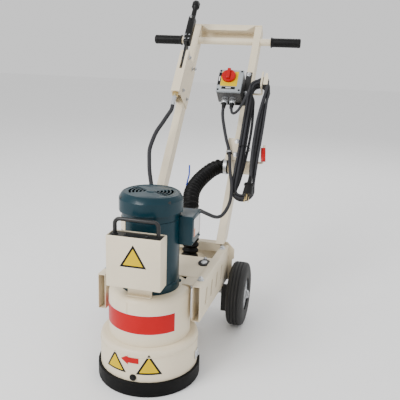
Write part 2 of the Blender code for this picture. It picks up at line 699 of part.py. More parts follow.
def weight_cover(machine):
    low, high = weight_low_high()
    edge = WEIGHT_WALL + GAP
    top = high.z - WEIGHT_COVER_RECESS
    bm = box_bm((low.x + edge, low.y + edge, top - WEIGHT_COVER_THICKNESS), (high.x - edge, high.y - edge, top))
    return add_piece("weight_cover", bm, BLACK_PAINT, machine)


def weight_handle(machine):
    low, high = weight_low_high()
    y = (low.y + high.y) / 2.0
    base = high.z - WEIGHT_COVER_RECESS + GAP
    half, rise, bend = HANDLE_BAR_SPAN / 2.0, HANDLE_BAR_RISE, HANDLE_BAR_BEND
    route = [Vector((-half, y, base)), Vector((-half, y, base + rise - bend))]
    corners = ((-half + bend, 180.0), (half - bend, 90.0))
    for centre_x, start in corners:
        for i in range(1, 6):
            turn = math.radians(start - 90.0 * i / 5.0)
            route.append(Vector((centre_x + bend * math.cos(turn), y, base + rise - bend + bend * math.sin(turn))))
    route.append(Vector((half, y, base)))
    return add_piece("weight_handle", swept_bm(route, HANDLE_BAR_RADIUS, 0.0, 12), BLACK_PAINT, machine)


def weight_slab(machine):
    low, high = weight_low_high()
    edge = WEIGHT_WALL + 0.001
    top = high.z - WEIGHT_COVER_RECESS - WEIGHT_COVER_THICKNESS - GAP
    bm = box_bm((low.x + edge, low.y + edge, low.z + WEIGHT_WALL + GAP), (high.x - edge, high.y - edge, top))
    return add_piece("weight_slab", bm, CAST_IRON, machine)


def weight_hanger(machine):
    """Bent plate on the drum: a foot, a back the box hooks over and a shelf under the box."""
    low, _ = weight_low_high()
    front = low.y + 0.010
    face = WEIGHT_BACK + GAP
    back = face + WEIGHT_WALL
    foot = -DRUM_RADIUS + DRUM_FILLET
    base = DRUM_TOP + GAP
    shelf = WEIGHT_BOTTOM - GAP
    outline = [(front, shelf - WEIGHT_WALL), (face, shelf - WEIGHT_WALL), (face, base + WEIGHT_WALL),
               (foot, base + WEIGHT_WALL), (foot, base), (back, base), (back, WEIGHT_BOTTOM + 0.090),
               (face, WEIGHT_BOTTOM + 0.090), (face, shelf), (front, shelf)]
    return add_piece("weight_hanger", extruded_bm(outline, -0.035, 0.035), CREAM, machine, smooth=0.0)


# ---------------------------------------------------------------- frame
def channel_outline(inset):
    """Side view of a side channel, taller at its rear; inset moves top and bottom inwards."""
    return [(CHANNEL_FRONT, CHANNEL_LOW_FRONT + inset), (CHANNEL_REAR, CHANNEL_LOW_REAR + inset),
            (CHANNEL_REAR, CHANNEL_TOP_REAR - inset), (CHANNEL_FRONT, CHANNEL_TOP_FRONT - inset)]


def side_channel(machine, side, name):
    near, far = CHANNEL_INNER * side, CHANNEL_OUTER * side
    channel = add_piece(name, extruded_bm(channel_outline(0.0), min(near, far), max(near, far)),
                        CREAM, machine, smooth=0.0)
    bevel = channel.modifiers.new("round_edges", "BEVEL")
    bevel.width = 0.003
    bevel.segments = 2
    near, far = (CHANNEL_INNER + CHANNEL_WALL) * side, (CHANNEL_OUTER - CHANNEL_WALL) * side
    longer = [(y - 0.01 if y < 0.1 else y + 0.01, z) for y, z in channel_outline(CHANNEL_WALL)]
    inside = extruded_bm(longer, min(near, far), max(near, far))
    boolean(channel, add_piece(f"cut_{name}_inside", inside, None, machine, smooth=0.0))
    slots = bmesh.new()
    for index in range(4):
        y = 0.062 + 0.072 * index
        z = 0.236 - 0.004 * index
        lean = 0.014
        outline = [(y - 0.022, z - 0.024), (y - 0.006, z - 0.024), (y - 0.006 + lean, z + 0.024), (y - 0.022 + lean, z + 0.024)]
        face = slots.faces.new([slots.verts.new(((CHANNEL_OUTER - 0.008) * side, u, v)) for u, v in outline])
        grown = bmesh.ops.extrude_face_region(slots, geom=[face])
        moved = [item for item in grown["geom"] if isinstance(item, bmesh.types.BMVert)]
        bmesh.ops.translate(slots, vec=(0.016 * side, 0.0, 0.0), verts=moved)
    return boolean(channel, add_piece(f"cut_{name}_slots", slots, None, machine, smooth=0.0))


def deck_plate(machine):
    reach = CHANNEL_INNER - GAP
    low = DRUM_TOP + GAP
    bm = box_bm((-reach, DECK_FRONT, low), (reach, DECK_REAR, low + DECK_THICKNESS))
    deck = add_piece("deck_plate", bm, CREAM, machine, smooth=0.0)
    clear = rod_bm(MOTOR_BELL_RADIUS + 0.002, low - 0.01, low + 0.02, 32)
    return boolean(deck, add_piece("cut_deck_motor", clear, None, machine))


def cross_tube(machine):
    reach = CHANNEL_INNER - GAP
    size, wall = CROSS_TUBE_SIZE, UPRIGHT_WALL
    low, high = CROSS_TUBE_TOP - size, CROSS_TUBE_TOP
    rear = CROSS_TUBE_FRONT + size
    tube = add_piece("rear_cross_tube", box_bm((-reach, CROSS_TUBE_FRONT, low), (reach, rear, high)),
                     CREAM, machine, smooth=0.0)
    inside = box_bm((-reach - 0.01, CROSS_TUBE_FRONT + wall, low + wall), (reach + 0.01, rear - wall, high - wall))
    return boolean(tube, add_piece("cut_cross_tube_inside", inside, None, machine, smooth=0.0))


def rear_plate(machine):
    front = CROSS_TUBE_FRONT + CROSS_TUBE_SIZE + GAP
    half, low, top, corner = REAR_PLATE_HALF_WIDTH, CHANNEL_LOW_REAR, CROSS_TUBE_TOP - 0.002, REAR_PLATE_CORNER
    slim = WHEEL_INNER - 0.0025
    clear = 2.0 * WHEEL_RADIUS + 0.004
    outline = [(-slim, low), (slim, low), (slim, clear), (half, clear + 0.006), (half, top - corner),
               (half - corner, top), (-half + corner, top), (-half, top - corner), (-half, clear + 0.006),
               (-slim, clear)]
    return add_piece("rear_plate", extruded_bm(outline, front, front + REAR_PLATE_THICKNESS, "XZ"),
                     CREAM, machine, smooth=0.0)


def axle_bracket(machine, side, name):
    """Black channel under the side channel, open at its back, holding the axle."""
    near, far = BRACKET_INNER, BRACKET_INNER + BRACKET_WIDTH
    front, rear, low = WHEEL_Y - 0.040, WHEEL_Y + 0.030, BRACKET_LOW
    slope = (CHANNEL_LOW_REAR - CHANNEL_LOW_FRONT) / (CHANNEL_REAR - CHANNEL_FRONT)
    front_top = CHANNEL_LOW_FRONT + slope * (front - CHANNEL_FRONT) - GAP
    rear_top = CHANNEL_LOW_REAR - GAP
    corner = 0.014
    outline = [(front, low + corner), (front + corner, low), (rear - corner, low), (rear, low + corner),
               (rear, rear_top), (CHANNEL_REAR, rear_top), (front, front_top)]
    bracket = add_piece(name, extruded_bm(outline, min(near * side, far * side), max(near * side, far * side)),
                        BLACK_PAINT, machine, smooth=0.0)
    wall = BRACKET_WALL
    inside = box_bm((min((near - 0.01) * side, (far - wall) * side), front + wall, low - 0.01),
                    (max((near - 0.01) * side, (far - wall) * side), rear + 0.01, 0.3))
    boolean(bracket, add_piece(f"cut_{name}_inside", inside, None, machine, smooth=0.0))
    hole = rod_bm(AXLE_RADIUS + GAP, -0.3, 0.3, 20)
    turn_bm(hole, math.radians(90.0), "Y")
    move_bm(hole, (0.0, WHEEL_Y, WHEEL_RADIUS))
    return boolean(bracket, add_piece(f"cut_{name}_axle", hole, None, machine))


def axle(machine):
    half = WHEEL_INNER + WHEEL_WIDTH + AXLE_OVERHANG
    bm = rod_bm(AXLE_RADIUS, -half, half, 20, 0.0015)
    turn_bm(bm, math.radians(90.0), "Y")
    move_bm(bm, (0.0, WHEEL_Y, WHEEL_RADIUS))
    return add_piece("axle", bm, STEEL, machine)


def wheel(machine, side, word):
    """Tyre and rim, turned about their own axle line."""
    half = WHEEL_WIDTH / 2.0
    hub = add_empty(f"wheel_{word}_axis", (side * (WHEEL_INNER + half), WHEEL_Y, WHEEL_RADIUS), 0.0, machine)
    crown = 0.010
    outer = [(RIM_RADIUS, -half + 0.006), (RIM_RADIUS + 0.012, -half), (WHEEL_RADIUS - 0.016, -half + 0.001)]
    outer += [(WHEEL_RADIUS - crown + crown * math.sin(math.radians(a)), -half + crown - crown * math.cos(math.radians(a)))
              for a in (30.0, 60.0)]
    tread = [(WHEEL_RADIUS, -half + crown + 0.002)]
    ring = outer + tread
    ring += [(radius, -height) for radius, height in reversed(ring)]
    tyre = turned_bm(ring, 32)
    turn_bm(tyre, math.radians(90.0), "Y")
    add_piece(f"tyre_{word}", tyre, TYRE_RUBBER, hub)
    web = 0.004 * side
    seat = RIM_RADIUS - GAP
    bore = AXLE_RADIUS + GAP
    deep = half - 0.006
    profile = [(bore, -half + 0.002), (0.0165, -half + 0.002), (0.0165, web - 0.004), (0.050, web - 0.004),
               (0.060, -deep), (seat, -deep), (seat, deep), (0.060, deep), (0.050, web + 0.004),
               (0.0165, web + 0.004), (0.0165, half - 0.002), (bore, half - 0.002)]
    rim = turned_bm(profile, 24)
    turn_bm(rim, math.radians(90.0), "Y")
    add_piece(f"rim_{word}", rim, ZINC, hub)


# ---------------------------------------------------------------- handle
def hook_bm(x, height, ahead, tip):
    """Bent rod: out from the upright behind the hank, forward, then up."""
    start, bend = UPRIGHT_SPACING + UPRIGHT_WIDTH / 2.0 - 0.001, 0.008
    behind = UPRIGHT_FACE - HOOK_RADIUS - 0.006
    route = [on_handle(start, behind, height), on_handle(x - bend, behind, height),
             on_handle(x - bend * 0.3, behind + bend * 0.3, height), on_handle(x, behind + bend, height),
             on_handle(x, ahead - bend, height), on_handle(x, ahead - bend * 0.3, height + bend * 0.3),
             on_handle(x, ahead, height + bend), on_handle(x, ahead, height + tip)]
    return swept_bm(route, HOOK_RADIUS, 0.0, 10)


def upright(handle, side, name):
    x, half, wall = UPRIGHT_SPACING * side, UPRIGHT_WIDTH / 2.0, UPRIGHT_WALL
    front, back = -UPRIGHT_FACE, -UPRIGHT_BACK
    tube = add_piece(name, box_bm((x - half, front, -0.08), (x + half, back, UPRIGHT_LENGTH)), CREAM, handle, smooth=0.0)
    inside = box_bm((x - half + wall, front + wall, -0.1), (x + half - wall, back - wall, UPRIGHT_LENGTH + 0.01))
    boolean(tube, add_piece(f"cut_{name}_inside", inside, None, handle, smooth=0.0))
    foot = box_bm((-0.25, -0.25, -0.4), (0.25, 0.25, 0.0))
    turn_bm(foot, HANDLE_TILT, "X")
    rise = CROSS_TUBE_TOP + GAP - HANDLE_FOOT_Z
    move_bm(foot, (0.0, -rise * math.sin(HANDLE_TILT), rise * math.cos(HANDLE_TILT)))
    boolean(tube, add_piece(f"cut_{name}_foot", foot, None, handle, smooth=0.0))
    bar = rod_bm(BAR_RADIUS + GAP, x - 0.03, x + 0.03, 20)
    turn_bm(bar, math.radians(90.0), "Y")
    move_bm(bar, (0.0, 0.0, BAR_HEIGHT))
    boolean(tube, add_piece(f"cut_{name}_bar", bar, None, handle))
    if side > 0:
        upper = hook_bm(HANK_X + 0.008, HANK_TOP - 0.039, HANK_AHEAD + HANK_DEPTH + 0.010, 0.062)
        boolean(tube, add_piece("join_hook_upper", upper, CREAM, handle), "UNION")
        lower = hook_bm(HANK_X + HANK_RADIUS + 0.010, 0.318, HANK_AHEAD + 0.012, 0.060)
        boolean(tube, add_piece("join_hook_lower", lower, CREAM, handle), "UNION")
    return tube


def top_console(handle):
    """Folded cap over the tops of both uprights, with a tapered flange in front."""
    half = UPRIGHT_SPACING + UPRIGHT_WIDTH / 2.0
    front, back = -UPRIGHT_FACE - GAP, -UPRIGHT_BACK + GAP
    low = UPRIGHT_LENGTH + GAP
    plate = box_bm((-half, front - CAP_WALL, low), (half, back + CAP_WALL, low + CAP_WALL))
    cap = add_piece("top_console", plate, CREAM, handle, smooth=0.0)
    inner = UPRIGHT_SPACING - UPRIGHT_WIDTH / 2.0
    outline = [(-inner, low + 0.001), (-inner + 0.035, low - CAP_HEIGHT), (inner - 0.035, low - CAP_HEIGHT),
               (inner, low + 0.001)]
    flange = extruded_bm(outline, front - CAP_WALL, front, "XZ")
    boolean(cap, add_piece("join_console_front", flange, CREAM, handle, smooth=0.0), "UNION")
    rear = extruded_bm([(-half, low + 0.001), (-half, low - CAP_HEIGHT), (half, low - CAP_HEIGHT), (half, low + 0.001)],
                       back, back + CAP_WALL, "XZ")
    return boolean(cap, add_piece("join_console_rear", rear, CREAM, handle, smooth=0.0), "UNION")


def handlebar(handle):
    bm = ring_bm(BAR_RADIUS - 0.002, BAR_RADIUS, -BAR_HALF_LENGTH, BAR_HALF_LENGTH, 20)
    turn_bm(bm, math.radians(90.0), "Y")
    move_bm(bm, (0.0, 0.0, BAR_HEIGHT))
    return add_piece("handlebar", bm, CREAM, handle)


def grip(handle, side, name):
    end = BAR_HALF_LENGTH + 0.006
    start = end - GRIP_LENGTH
    bore = BAR_RADIUS + GAP
    floor = BAR_HALF_LENGTH + GAP
    profile = [(0.0, floor), (bore, floor), (bore, start), (GRIP_FLANGE, start), (GRIP_FLANGE, start + 0.004),
               (GRIP_RADIUS, start + 0.006)]
    profile += arc(GRIP_RADIUS - 0.004, end - 0.004, 0.004, 0.0, 90.0, 2)
    profile.append((0.0, end))
    bm = turned_bm(profile, 20, closed=False)
    turn_bm(bm, math.radians(90.0 * side), "Y")
    move_bm(bm, (0.0, 0.0, BAR_HEIGHT))
    return add_piece(name, bm, BLACK_RUBBER, handle)


# ---------------------------------------------------------------- lift lever
def lever_housing(handle):
    """Folded channel around the left upright, standing forward of it."""
    x, half = -UPRIGHT_SPACING, UPRIGHT_WIDTH / 2.0 + GAP + LEVER_WALL
    front, back = -LEVER_HOUSING_FACE, -UPRIGHT_BACK
    outline = [(front, LEVER_HOUSING_LOW), (back, LEVER_HOUSING_TAIL), (back, LEVER_HOUSING_TOP),
               (front, LEVER_HOUSING_TOP)]
    body = add_piece("lever_housing", extruded_bm(outline, x - half, x + half), CREAM, handle, smooth=0.0)
    inner = half - LEVER_WALL
    inside = box_bm((x - inner, front + LEVER_WALL, 0.4), (x + inner, back + 0.01, 0.9))
    boolean(body, add_piece("cut_lever_inside", inside, None, handle, smooth=0.0))
    slot_half = LEVER_BLADE / 2.0 + 0.0015
    slot = box_bm((x - slot_half, front - 0.01, LEVER_SLOT_LOW), (x + slot_half, front + 0.02, 0.9))
    boolean(body, add_piece("cut_lever_slot", slot, None, handle, smooth=0.0))
    tab = box_bm((x - inner - 0.001, front + 0.001, LEVER_HOUSING_LOW),
                 (x + inner + 0.001, -CABLE_AHEAD + 0.014, LEVER_HOUSING_LOW + LEVER_WALL))
    boolean(body, add_piece("join_lever_tab", tab, CREAM, handle, smooth=0.0), "UNION")
    sleeve = rod_bm(FITTING_RADIUS + GAP, LEVER_HOUSING_LOW - 0.01, LEVER_HOUSING_LOW + 0.01, 16)
    move_bm(sleeve, (x, -CABLE_AHEAD, 0.0))
    boolean(body, add_piece("cut_lever_sleeve", sleeve, None, handle))
    pin = rod_bm(LEVER_PIN_RADIUS + GAP, -0.05, 0.05, 16)
    turn_bm(pin, math.radians(90.0), "Y")
    move_bm(pin, (x, -LEVER_PIVOT_AHEAD, LEVER_PIVOT_HEIGHT))
    return boolean(body, add_piece("cut_lever_pin", pin, None, handle))


def lever_pin(handle):
    half = UPRIGHT_WIDTH / 2.0 + LEVER_WALL + 0.006
    bm = turned_bm([(0.0, -half), (0.007, -half), (0.007, -half + 0.005), (LEVER_PIN_RADIUS, -half + 0.005),
                    (LEVER_PIN_RADIUS, half), (0.0, half)], 16, closed=False)
    turn_bm(bm, math.radians(-90.0), "Y")
    move_bm(bm, (-UPRIGHT_SPACING, -LEVER_PIVOT_AHEAD, LEVER_PIVOT_HEIGHT))
    return add_piece("lever_pivot_pin", bm, ZINC, handle)


def lever_arm(lever):
    """Blade with a moulded body, a shaft and a knob, drawn from its pivot."""
    half = LEVER_BLADE / 2.0
    outline = [(-0.010, -LEVER_TAIL), (0.010, -LEVER_TAIL), (0.012, 0.020), (-0.006, 0.060), (-0.036, 0.060),
               (-0.031, 0.025), (-0.024, -0.010)]
    arm = add_piece("lever_arm", extruded_bm(outline, -half, half), BLACK_PLASTIC, lever, smooth=0.0)
    body = rounded_box_bm((-0.0135, -0.038, 0.050), (0.0135, -0.006, 0.183), 0.004)
    boolean(arm, add_piece("join_lever_body", body, BLACK_PLASTIC, lever), "UNION")
    top = LEVER_LENGTH
    shaft = turned_bm([(0.0, 0.170), (0.0105, 0.170), (0.0095, top - 0.040), (KNOB_RADIUS - 0.002, top - 0.034),
                       (KNOB_RADIUS, top - 0.024), (KNOB_RADIUS, top - 0.012), (KNOB_RADIUS - 0.003, top - 0.004),
                       (KNOB_RADIUS - 0.008, top), (0.0, top)], 20, closed=False)
    move_bm(shaft, (0.0, -0.022, 0.0))
    boolean(arm, add_piece("join_lever_shaft", shaft, BLACK_PLASTIC, lever), "UNION")
    pin = rod_bm(LEVER_PIN_RADIUS + GAP, -0.05, 0.05, 16)
    turn_bm(pin, math.radians(90.0), "Y")
    return boolean(arm, add_piece("cut_lever_arm_pin", pin, None, lever))


def cable_rod(handle):
    """Pull rod that slides up out of the cable's end fitting when the lever swings forward."""
    top = LEVER_PIVOT_HEIGHT - LEVER_TAIL - ROD_GAP
    low = FITTING_LOW + 0.045
    head = ROD_RADIUS + 0.0015
    bm = turned_bm([(0.0, low), (ROD_RADIUS, low), (ROD_RADIUS, top - 0.016), (head, top - 0.014), (head, top),
                    (0.0, top)], 16, closed=False)
    move_bm(bm, (-UPRIGHT_SPACING, -CABLE_AHEAD, 0.0))
    return add_piece("cable_rod", bm, ZINC, handle)


def cable_fitting(handle):
    """Threaded sleeve through the housing's tab, with its nut below the tab."""
    low, high = FITTING_LOW, LEVER_HOUSING_LOW + 0.028
    nut_top = LEVER_HOUSING_LOW - GAP
    bore = ROD_RADIUS + GAP
    floor = low + 0.030
    bm = turned_bm([(0.0, low), (0.0075, low), (0.0075, nut_top - 0.018), (FITTING_RADIUS, nut_top - 0.016),
                    (FITTING_RADIUS, nut_top - 0.012), (0.0105, nut_top - 0.012), (0.0105, nut_top),
                    (FITTING_RADIUS, nut_top), (FITTING_RADIUS, high), (bore, high), (bore, floor), (0.0, floor)],
                   16, closed=False)
    move_bm(bm, (-UPRIGHT_SPACING, -CABLE_AHEAD, 0.0))
    return add_piece("cable_fitting", bm, ZINC, handle)


def control_cable(machine):
    low = FITTING_LOW - GAP
    start = handle_to_machine(-UPRIGHT_SPACING, CABLE_AHEAD, low)
    second = handle_to_machine(-UPRIGHT_SPACING, CABLE_AHEAD, low - 0.020)
    route = [start, second, (-0.1365, 0.5870, 0.6935), (-0.1465, 0.5570, 0.6680), (-0.1590, 0.5250, 0.6390),
             (-0.1645, 0.4950, 0.6090), (-0.1661, 0.4680, 0.5785), (-0.1597, 0.4470, 0.5461),
             (-0.1527, 0.4300, 0.5135), (-0.1438, 0.4180, 0.4802), (-0.1340, 0.4080, 0.4450),
             (-0.1220, 0.3980, 0.4000), (-0.1080, 0.3860, 0.3600), (-0.0970, 0.3760, 0.3300),
             (-0.0960, 0.3750, 0.3100), (-0.0960, 0.3750, CROSS_TUBE_TOP + GAP)]
    return cord_piece("control_cable", route, CABLE_DIAMETER, CORD_JACKET, machine, 1.6)


# ---------------------------------------------------------------- switch
def switch_bracket(handle):
    low = on_handle(SWITCH_LEFT + 0.010, UPRIGHT_FACE + GAP + SWITCH_PLATE, SWITCH_LOW - 0.008)
    high = on_handle(UPRIGHT_SPACING + 0.008, UPRIGHT_FACE + GAP, SWITCH_LOW + SWITCH_HEIGHT + 0.050)
    plate = add_piece("switch_bracket", box_bm(low, high), BLACK_PAINT, handle, smooth=0.0)
    notch = box_bm(on_handle(SWITCH_LEFT - 0.05, 0.05, SWITCH_LOW + SWITCH_HEIGHT + 0.004),
                   on_handle(SWITCH_LEFT + SWITCH_WIDTH - 0.004, 0.0, SWITCH_LOW + SWITCH_HEIGHT + 0.1))
    return boolean(plate, add_piece("cut_switch_bracket", notch, None, handle, smooth=0.0))


def switch_back():
    return UPRIGHT_FACE + 2 * GAP + SWITCH_PLATE


def gland_places():
    middle = SWITCH_LEFT + SWITCH_WIDTH / 2.0
    return (middle - GLAND_SPACING / 2.0, middle + GLAND_SPACING / 2.0)


def switch_box(handle):
    back = switch_back()
    ahead = back + SWITCH_DEPTH
    bm = rounded_box_bm(on_handle(SWITCH_LEFT, ahead, SWITCH_LOW),
                        on_handle(SWITCH_LEFT + SWITCH_WIDTH, back, SWITCH_LOW + SWITCH_HEIGHT), 0.003)
    box = add_piece("switch_box", bm, GREY_PLASTIC, handle)
    inside = box_bm(on_handle(SWITCH_LEFT + SWITCH_WALL, ahead + 0.01, SWITCH_LOW + SWITCH_WALL),
                    on_handle(SWITCH_LEFT + SWITCH_WIDTH - SWITCH_WALL, back + SWITCH_WALL,
                              SWITCH_LOW + SWITCH_HEIGHT - SWITCH_WALL))
    boolean(box, add_piece("cut_switch_inside", inside, None, handle, smooth=0.0))
    for index, x in enumerate(gland_places()):
        gland = rod_bm(GLAND_RADIUS, SWITCH_LOW - GLAND_LENGTH, SWITCH_LOW + 0.001, 16, 0.001)
        move_bm(gland, (x, -(back + SWITCH_DEPTH * 0.5), 0.0))
        boolean(box, add_piece(f"join_gland_{index}", gland, ZINC, handle), "UNION")
    return box


def switch_lid(handle):
    back = switch_back() + SWITCH_DEPTH + GAP
    ahead = back + SWITCH_LID
    bm = rounded_box_bm(on_handle(SWITCH_LEFT - 0.001, ahead, SWITCH_LOW - 0.001),
                        on_handle(SWITCH_LEFT + SWITCH_WIDTH + 0.001, back, SWITCH_LOW + SWITCH_HEIGHT + 0.001), 0.003)
    return add_piece("switch_lid", bm, LIGHT_GREY, handle)


def switch_knob(handle):
    """Round turning knob with a pointer; its axis is square to the lid."""
    ahead = switch_back() + SWITCH_DEPTH + GAP + SWITCH_LID + GAP
    seat = add_empty("switch_axis", on_handle(SWITCH_LEFT + SWITCH_WIDTH / 2.0 - 0.006, ahead, SWITCH_LOW + 0.066),
                     0.0, handle)
    bm = turned_bm([(0.0, 0.0), (SWITCH_KNOB_RADIUS, 0.0), (SWITCH_KNOB_RADIUS, 0.012), (SWITCH_KNOB_RADIUS - 0.004, 0.016),
                    (0.0, 0.016)], 28, closed=False)
    turn_bm(bm, math.radians(90.0), "X")
    knob = add_piece("switch_knob", bm, RED_PLASTIC, seat)
    pointer = rounded_box_bm((-0.0065, -SWITCH_KNOB_HEIGHT, -0.020), (0.0065, -0.010, SWITCH_KNOB_RADIUS - 0.001), 0.002)
    return boolean(knob, add_piece("join_knob_pointer", pointer, RED_PLASTIC, seat), "UNION")


# ---------------------------------------------------------------- dust hose
def outlet_ahead():
    return UPRIGHT_BACK - GAP - OUTLET_RADIUS


def hose_plate(handle):
    """Plate on the front of the right upright, folded back to carry the vacuum outlet pipe."""
    inner = UPRIGHT_SPACING - UPRIGHT_WIDTH / 2.0 - GAP
    face = UPRIGHT_FACE + GAP
    plate = box_bm(on_handle(HOSE_PLATE_LEFT, face + HOSE_PLATE_THICKNESS, HOSE_PLATE_LOW),
                   on_handle(UPRIGHT_SPACING + 0.006, face, HOSE_PLATE_TOP))
    piece = add_piece("hose_plate", plate, CREAM, handle, smooth=0.0)
    arm = box_bm(on_handle(inner - HOSE_PLATE_THICKNESS, face + 0.001, OUTLET_HEIGHT - 0.034),
                 on_handle(inner, outlet_ahead() - 0.034, OUTLET_HEIGHT + 0.034))
    boolean(piece, add_piece("join_hose_plate_arm", arm, CREAM, handle, smooth=0.0), "UNION")
    hole = rod_bm(OUTLET_RADIUS - 0.001, 0.0, 0.3, 28)
    turn_bm(hole, math.radians(90.0), "Y")
    move_bm(hole, on_handle(0.0, outlet_ahead(), OUTLET_HEIGHT))
    boolean(piece, add_piece("cut_hose_plate_bore", hole, None, handle))
    pipe = ring_bm(OUTLET_RADIUS - OUTLET_WALL, OUTLET_RADIUS, OUTLET_LEFT, OUTLET_RIGHT, 28)
    turn_bm(pipe, math.radians(90.0), "Y")
    move_bm(pipe, on_handle(0.0, outlet_ahead(), OUTLET_HEIGHT))
    return boolean(piece, add_piece("join_outlet_pipe", pipe, CREAM, handle), "UNION")


def dust_hose(machine):
    end = handle_to_machine(OUTLET_LEFT + HOSE_LAP, outlet_ahead(), OUTLET_HEIGHT)
    route = [end, end - Vector((0.0150, 0.0, 0.0)), end - Vector((0.0280, 0.0, 0.0)),
             (0.0560, 0.6230, 0.5040), (0.0400, 0.5980, 0.4975), (0.0270, 0.5640, 0.4880), (0.0155, 0.5180, 0.4760),
             (0.0095, 0.4700, 0.4640), (0.0093, 0.4250, 0.4523), (0.0148, 0.3850, 0.4400), (0.0239, 0.3500, 0.4200),
             (0.0330, 0.3240, 0.3850), (0.0380, 0.3080, 0.3400), (0.0390, 0.3030, 0.2850), (0.0340, 0.2960, 0.2250),
             (0.0220, 0.2780, 0.1650), (0.0090, 0.2500, 0.1180), (0.0000, 0.2150, PORT_HEIGHT),
             (0.0000, 0.1880, PORT_HEIGHT), (0.0000, SHROUD_RADIUS + 0.0015, PORT_HEIGHT)]
    bm = swept_bm(smooth_route(route, 0.032), HOSE_RADIUS, HOSE_BORE, HOSE_SIDES)
    return add_piece("dust_hose", bm, BLACK_RUBBER, machine)


# ---------------------------------------------------------------- leads and mains cord
def lead_exit(index):
    x = gland_places()[index]
    return on_handle(x, switch_back() + SWITCH_DEPTH * 0.5, SWITCH_LOW - GLAND_LENGTH - GAP)


def motor_lead(machine):
    x, y, height = lead_exit(0)
    start = handle_to_machine(x, -y, height)
    second = handle_to_machine(x, -y, height - 0.030)
    route = [start, second]
    route += [handle_to_machine(*point) for point in (
        (0.0610, 0.0480, 0.4790), (0.0740, 0.0450, 0.4330), (0.0890, 0.0410, 0.3870), (0.1000, 0.0350, 0.3590),
        (0.1072, 0.0310, 0.3360), (0.1150, 0.0400, 0.3030), (0.1230, 0.0510, 0.2660), (0.1330, 0.0605, 0.2280),
        (0.1425, 0.0625, 0.1935), (0.1468, 0.0625, 0.1624), (0.1476, 0.0600, 0.1300))]
    route += [(0.1428, 0.3942, 0.4118), (0.1318, 0.3730, 0.3930), (0.1213, 0.3500, 0.3900),
              (0.1120, 0.3200, 0.3990), (0.1027, 0.2850, 0.4150), (0.0950, 0.2450, 0.4330),
              (0.0930, 0.2000, 0.4510), (0.0960, 0.1600, 0.4630),
              (JUNCTION_GLAND_X, 0.1350, JUNCTION_TOP - JUNCTION_GLAND_DROP),
              (JUNCTION_GLAND_X, JUNCTION_FRONT + JUNCTION_LENGTH + 0.022 + GAP, JUNCTION_TOP - JUNCTION_GLAND_DROP)]
    return cord_piece("motor_lead", route, LEAD_DIAMETER, CORD_JACKET, machine, 2.0)


def mains_cord(handle):
    """Cord from the switch's second gland, hanging in a loop and up onto the hank."""
    start = lead_exit(1)
    lying = HANK_AHEAD + HANK_DEPTH + CORD_DIAMETER / 2.0 + 2 * GAP
    route = [start, start - Vector((0.0, 0.0, 0.014))]
    route += [on_handle(*point) for point in (
        (0.0915, 0.0600, 0.5040), (0.0990, 0.0720, 0.4840), (0.1110, 0.0860, 0.4740), (0.1240, 0.0970, 0.4790),
        (0.1340, 0.1020, 0.4980), (0.1400, 0.0990, 0.5240), (0.1435, 0.0900, 0.5500), (0.1455, 0.0780, 0.5740),
        (0.1470, 0.0670, 0.5960), (0.1480, lying, 0.6160))]
    return cord_piece("mains_cord", route, CORD_DIAMETER, CORD_JACKET, handle, 1.4)


def cord_hank(handle):
    middle = (HANK_X, (HANK_LOW + HANK_TOP) / 2.0)
    half = (HANK_TOP - HANK_LOW) / 2.0
    near, far = HANK_AHEAD, HANK_AHEAD + HANK_DEPTH
    outline = racetrack(middle, half, HANK_RADIUS, 10)
    hank = add_piece("cord_hank", extruded_bm(outline, -far, -near, "XZ"), CORD_JACKET, handle)
    void = racetrack(middle, half - (HANK_RADIUS - HANK_VOID), HANK_VOID, 8)
    return boolean(hank, add_piece("cut_hank_void", extruded_bm(void, -far - 0.01, -near + 0.01, "XZ"), None, handle))


def mains_plug(handle):
    """Plug with its blades and the short bent cord end that leaves the hank's front."""
    x, ahead, top = PLUG_X, PLUG_AHEAD, PLUG_TOP
    low = top - PLUG_LENGTH
    bm = turned_bm([(0.0, low), (PLUG_RADIUS, low), (PLUG_RADIUS - 0.003, top - 0.012), (PLUG_RADIUS, top - 0.010),
                    (PLUG_RADIUS, top - 0.006), (0.010, top - 0.004), (0.008, top + 0.004), (0.0, top + 0.004)],
                   20, closed=False)
    move_bm(bm, (x, -ahead, 0.0))
    plug = add_piece("mains_plug", bm, BLACK_PLASTIC, handle)
    blades = bmesh.new()
    for shift in (-0.0065, 0.0065):
        made = bmesh.ops.create_cube(blades, size=1.0)["verts"]
        bmesh.ops.scale(blades, vec=(0.0015, 0.0063, 0.030), verts=made)
        bmesh.ops.translate(blades, vec=(x + shift, -ahead, low - 0.013), verts=made)
    boolean(plug, add_piece("join_plug_blades", blades, ZINC, handle, smooth=0.0), "UNION")
    ground = rod_bm(0.0024, low - 0.024, low + 0.001, 10)
    move_bm(ground, (x, -ahead - 0.010, 0.0))
    boolean(plug, add_piece("join_plug_ground", ground, ZINC, handle), "UNION")
    front = HANK_AHEAD + HANK_DEPTH + GAP
    bend = ahead - front - 0.002
    tail = [on_handle(x, front, top + 0.002 + bend)]
    tail += [on_handle(x, front + 0.002 + bend * math.sin(math.radians(a)),
                       top + 0.002 + bend * math.cos(math.radians(a))) for a in (0.0, 22.5, 45.0, 67.5, 90.0)]
    tail.append(on_handle(x, ahead, top - 0.002))
    return boolean(plug, add_piece("join_plug_cord", swept_bm(tail, CORD_DIAMETER / 2.0, 0.0, 12), BLACK_PLASTIC,
                                   handle), "UNION")


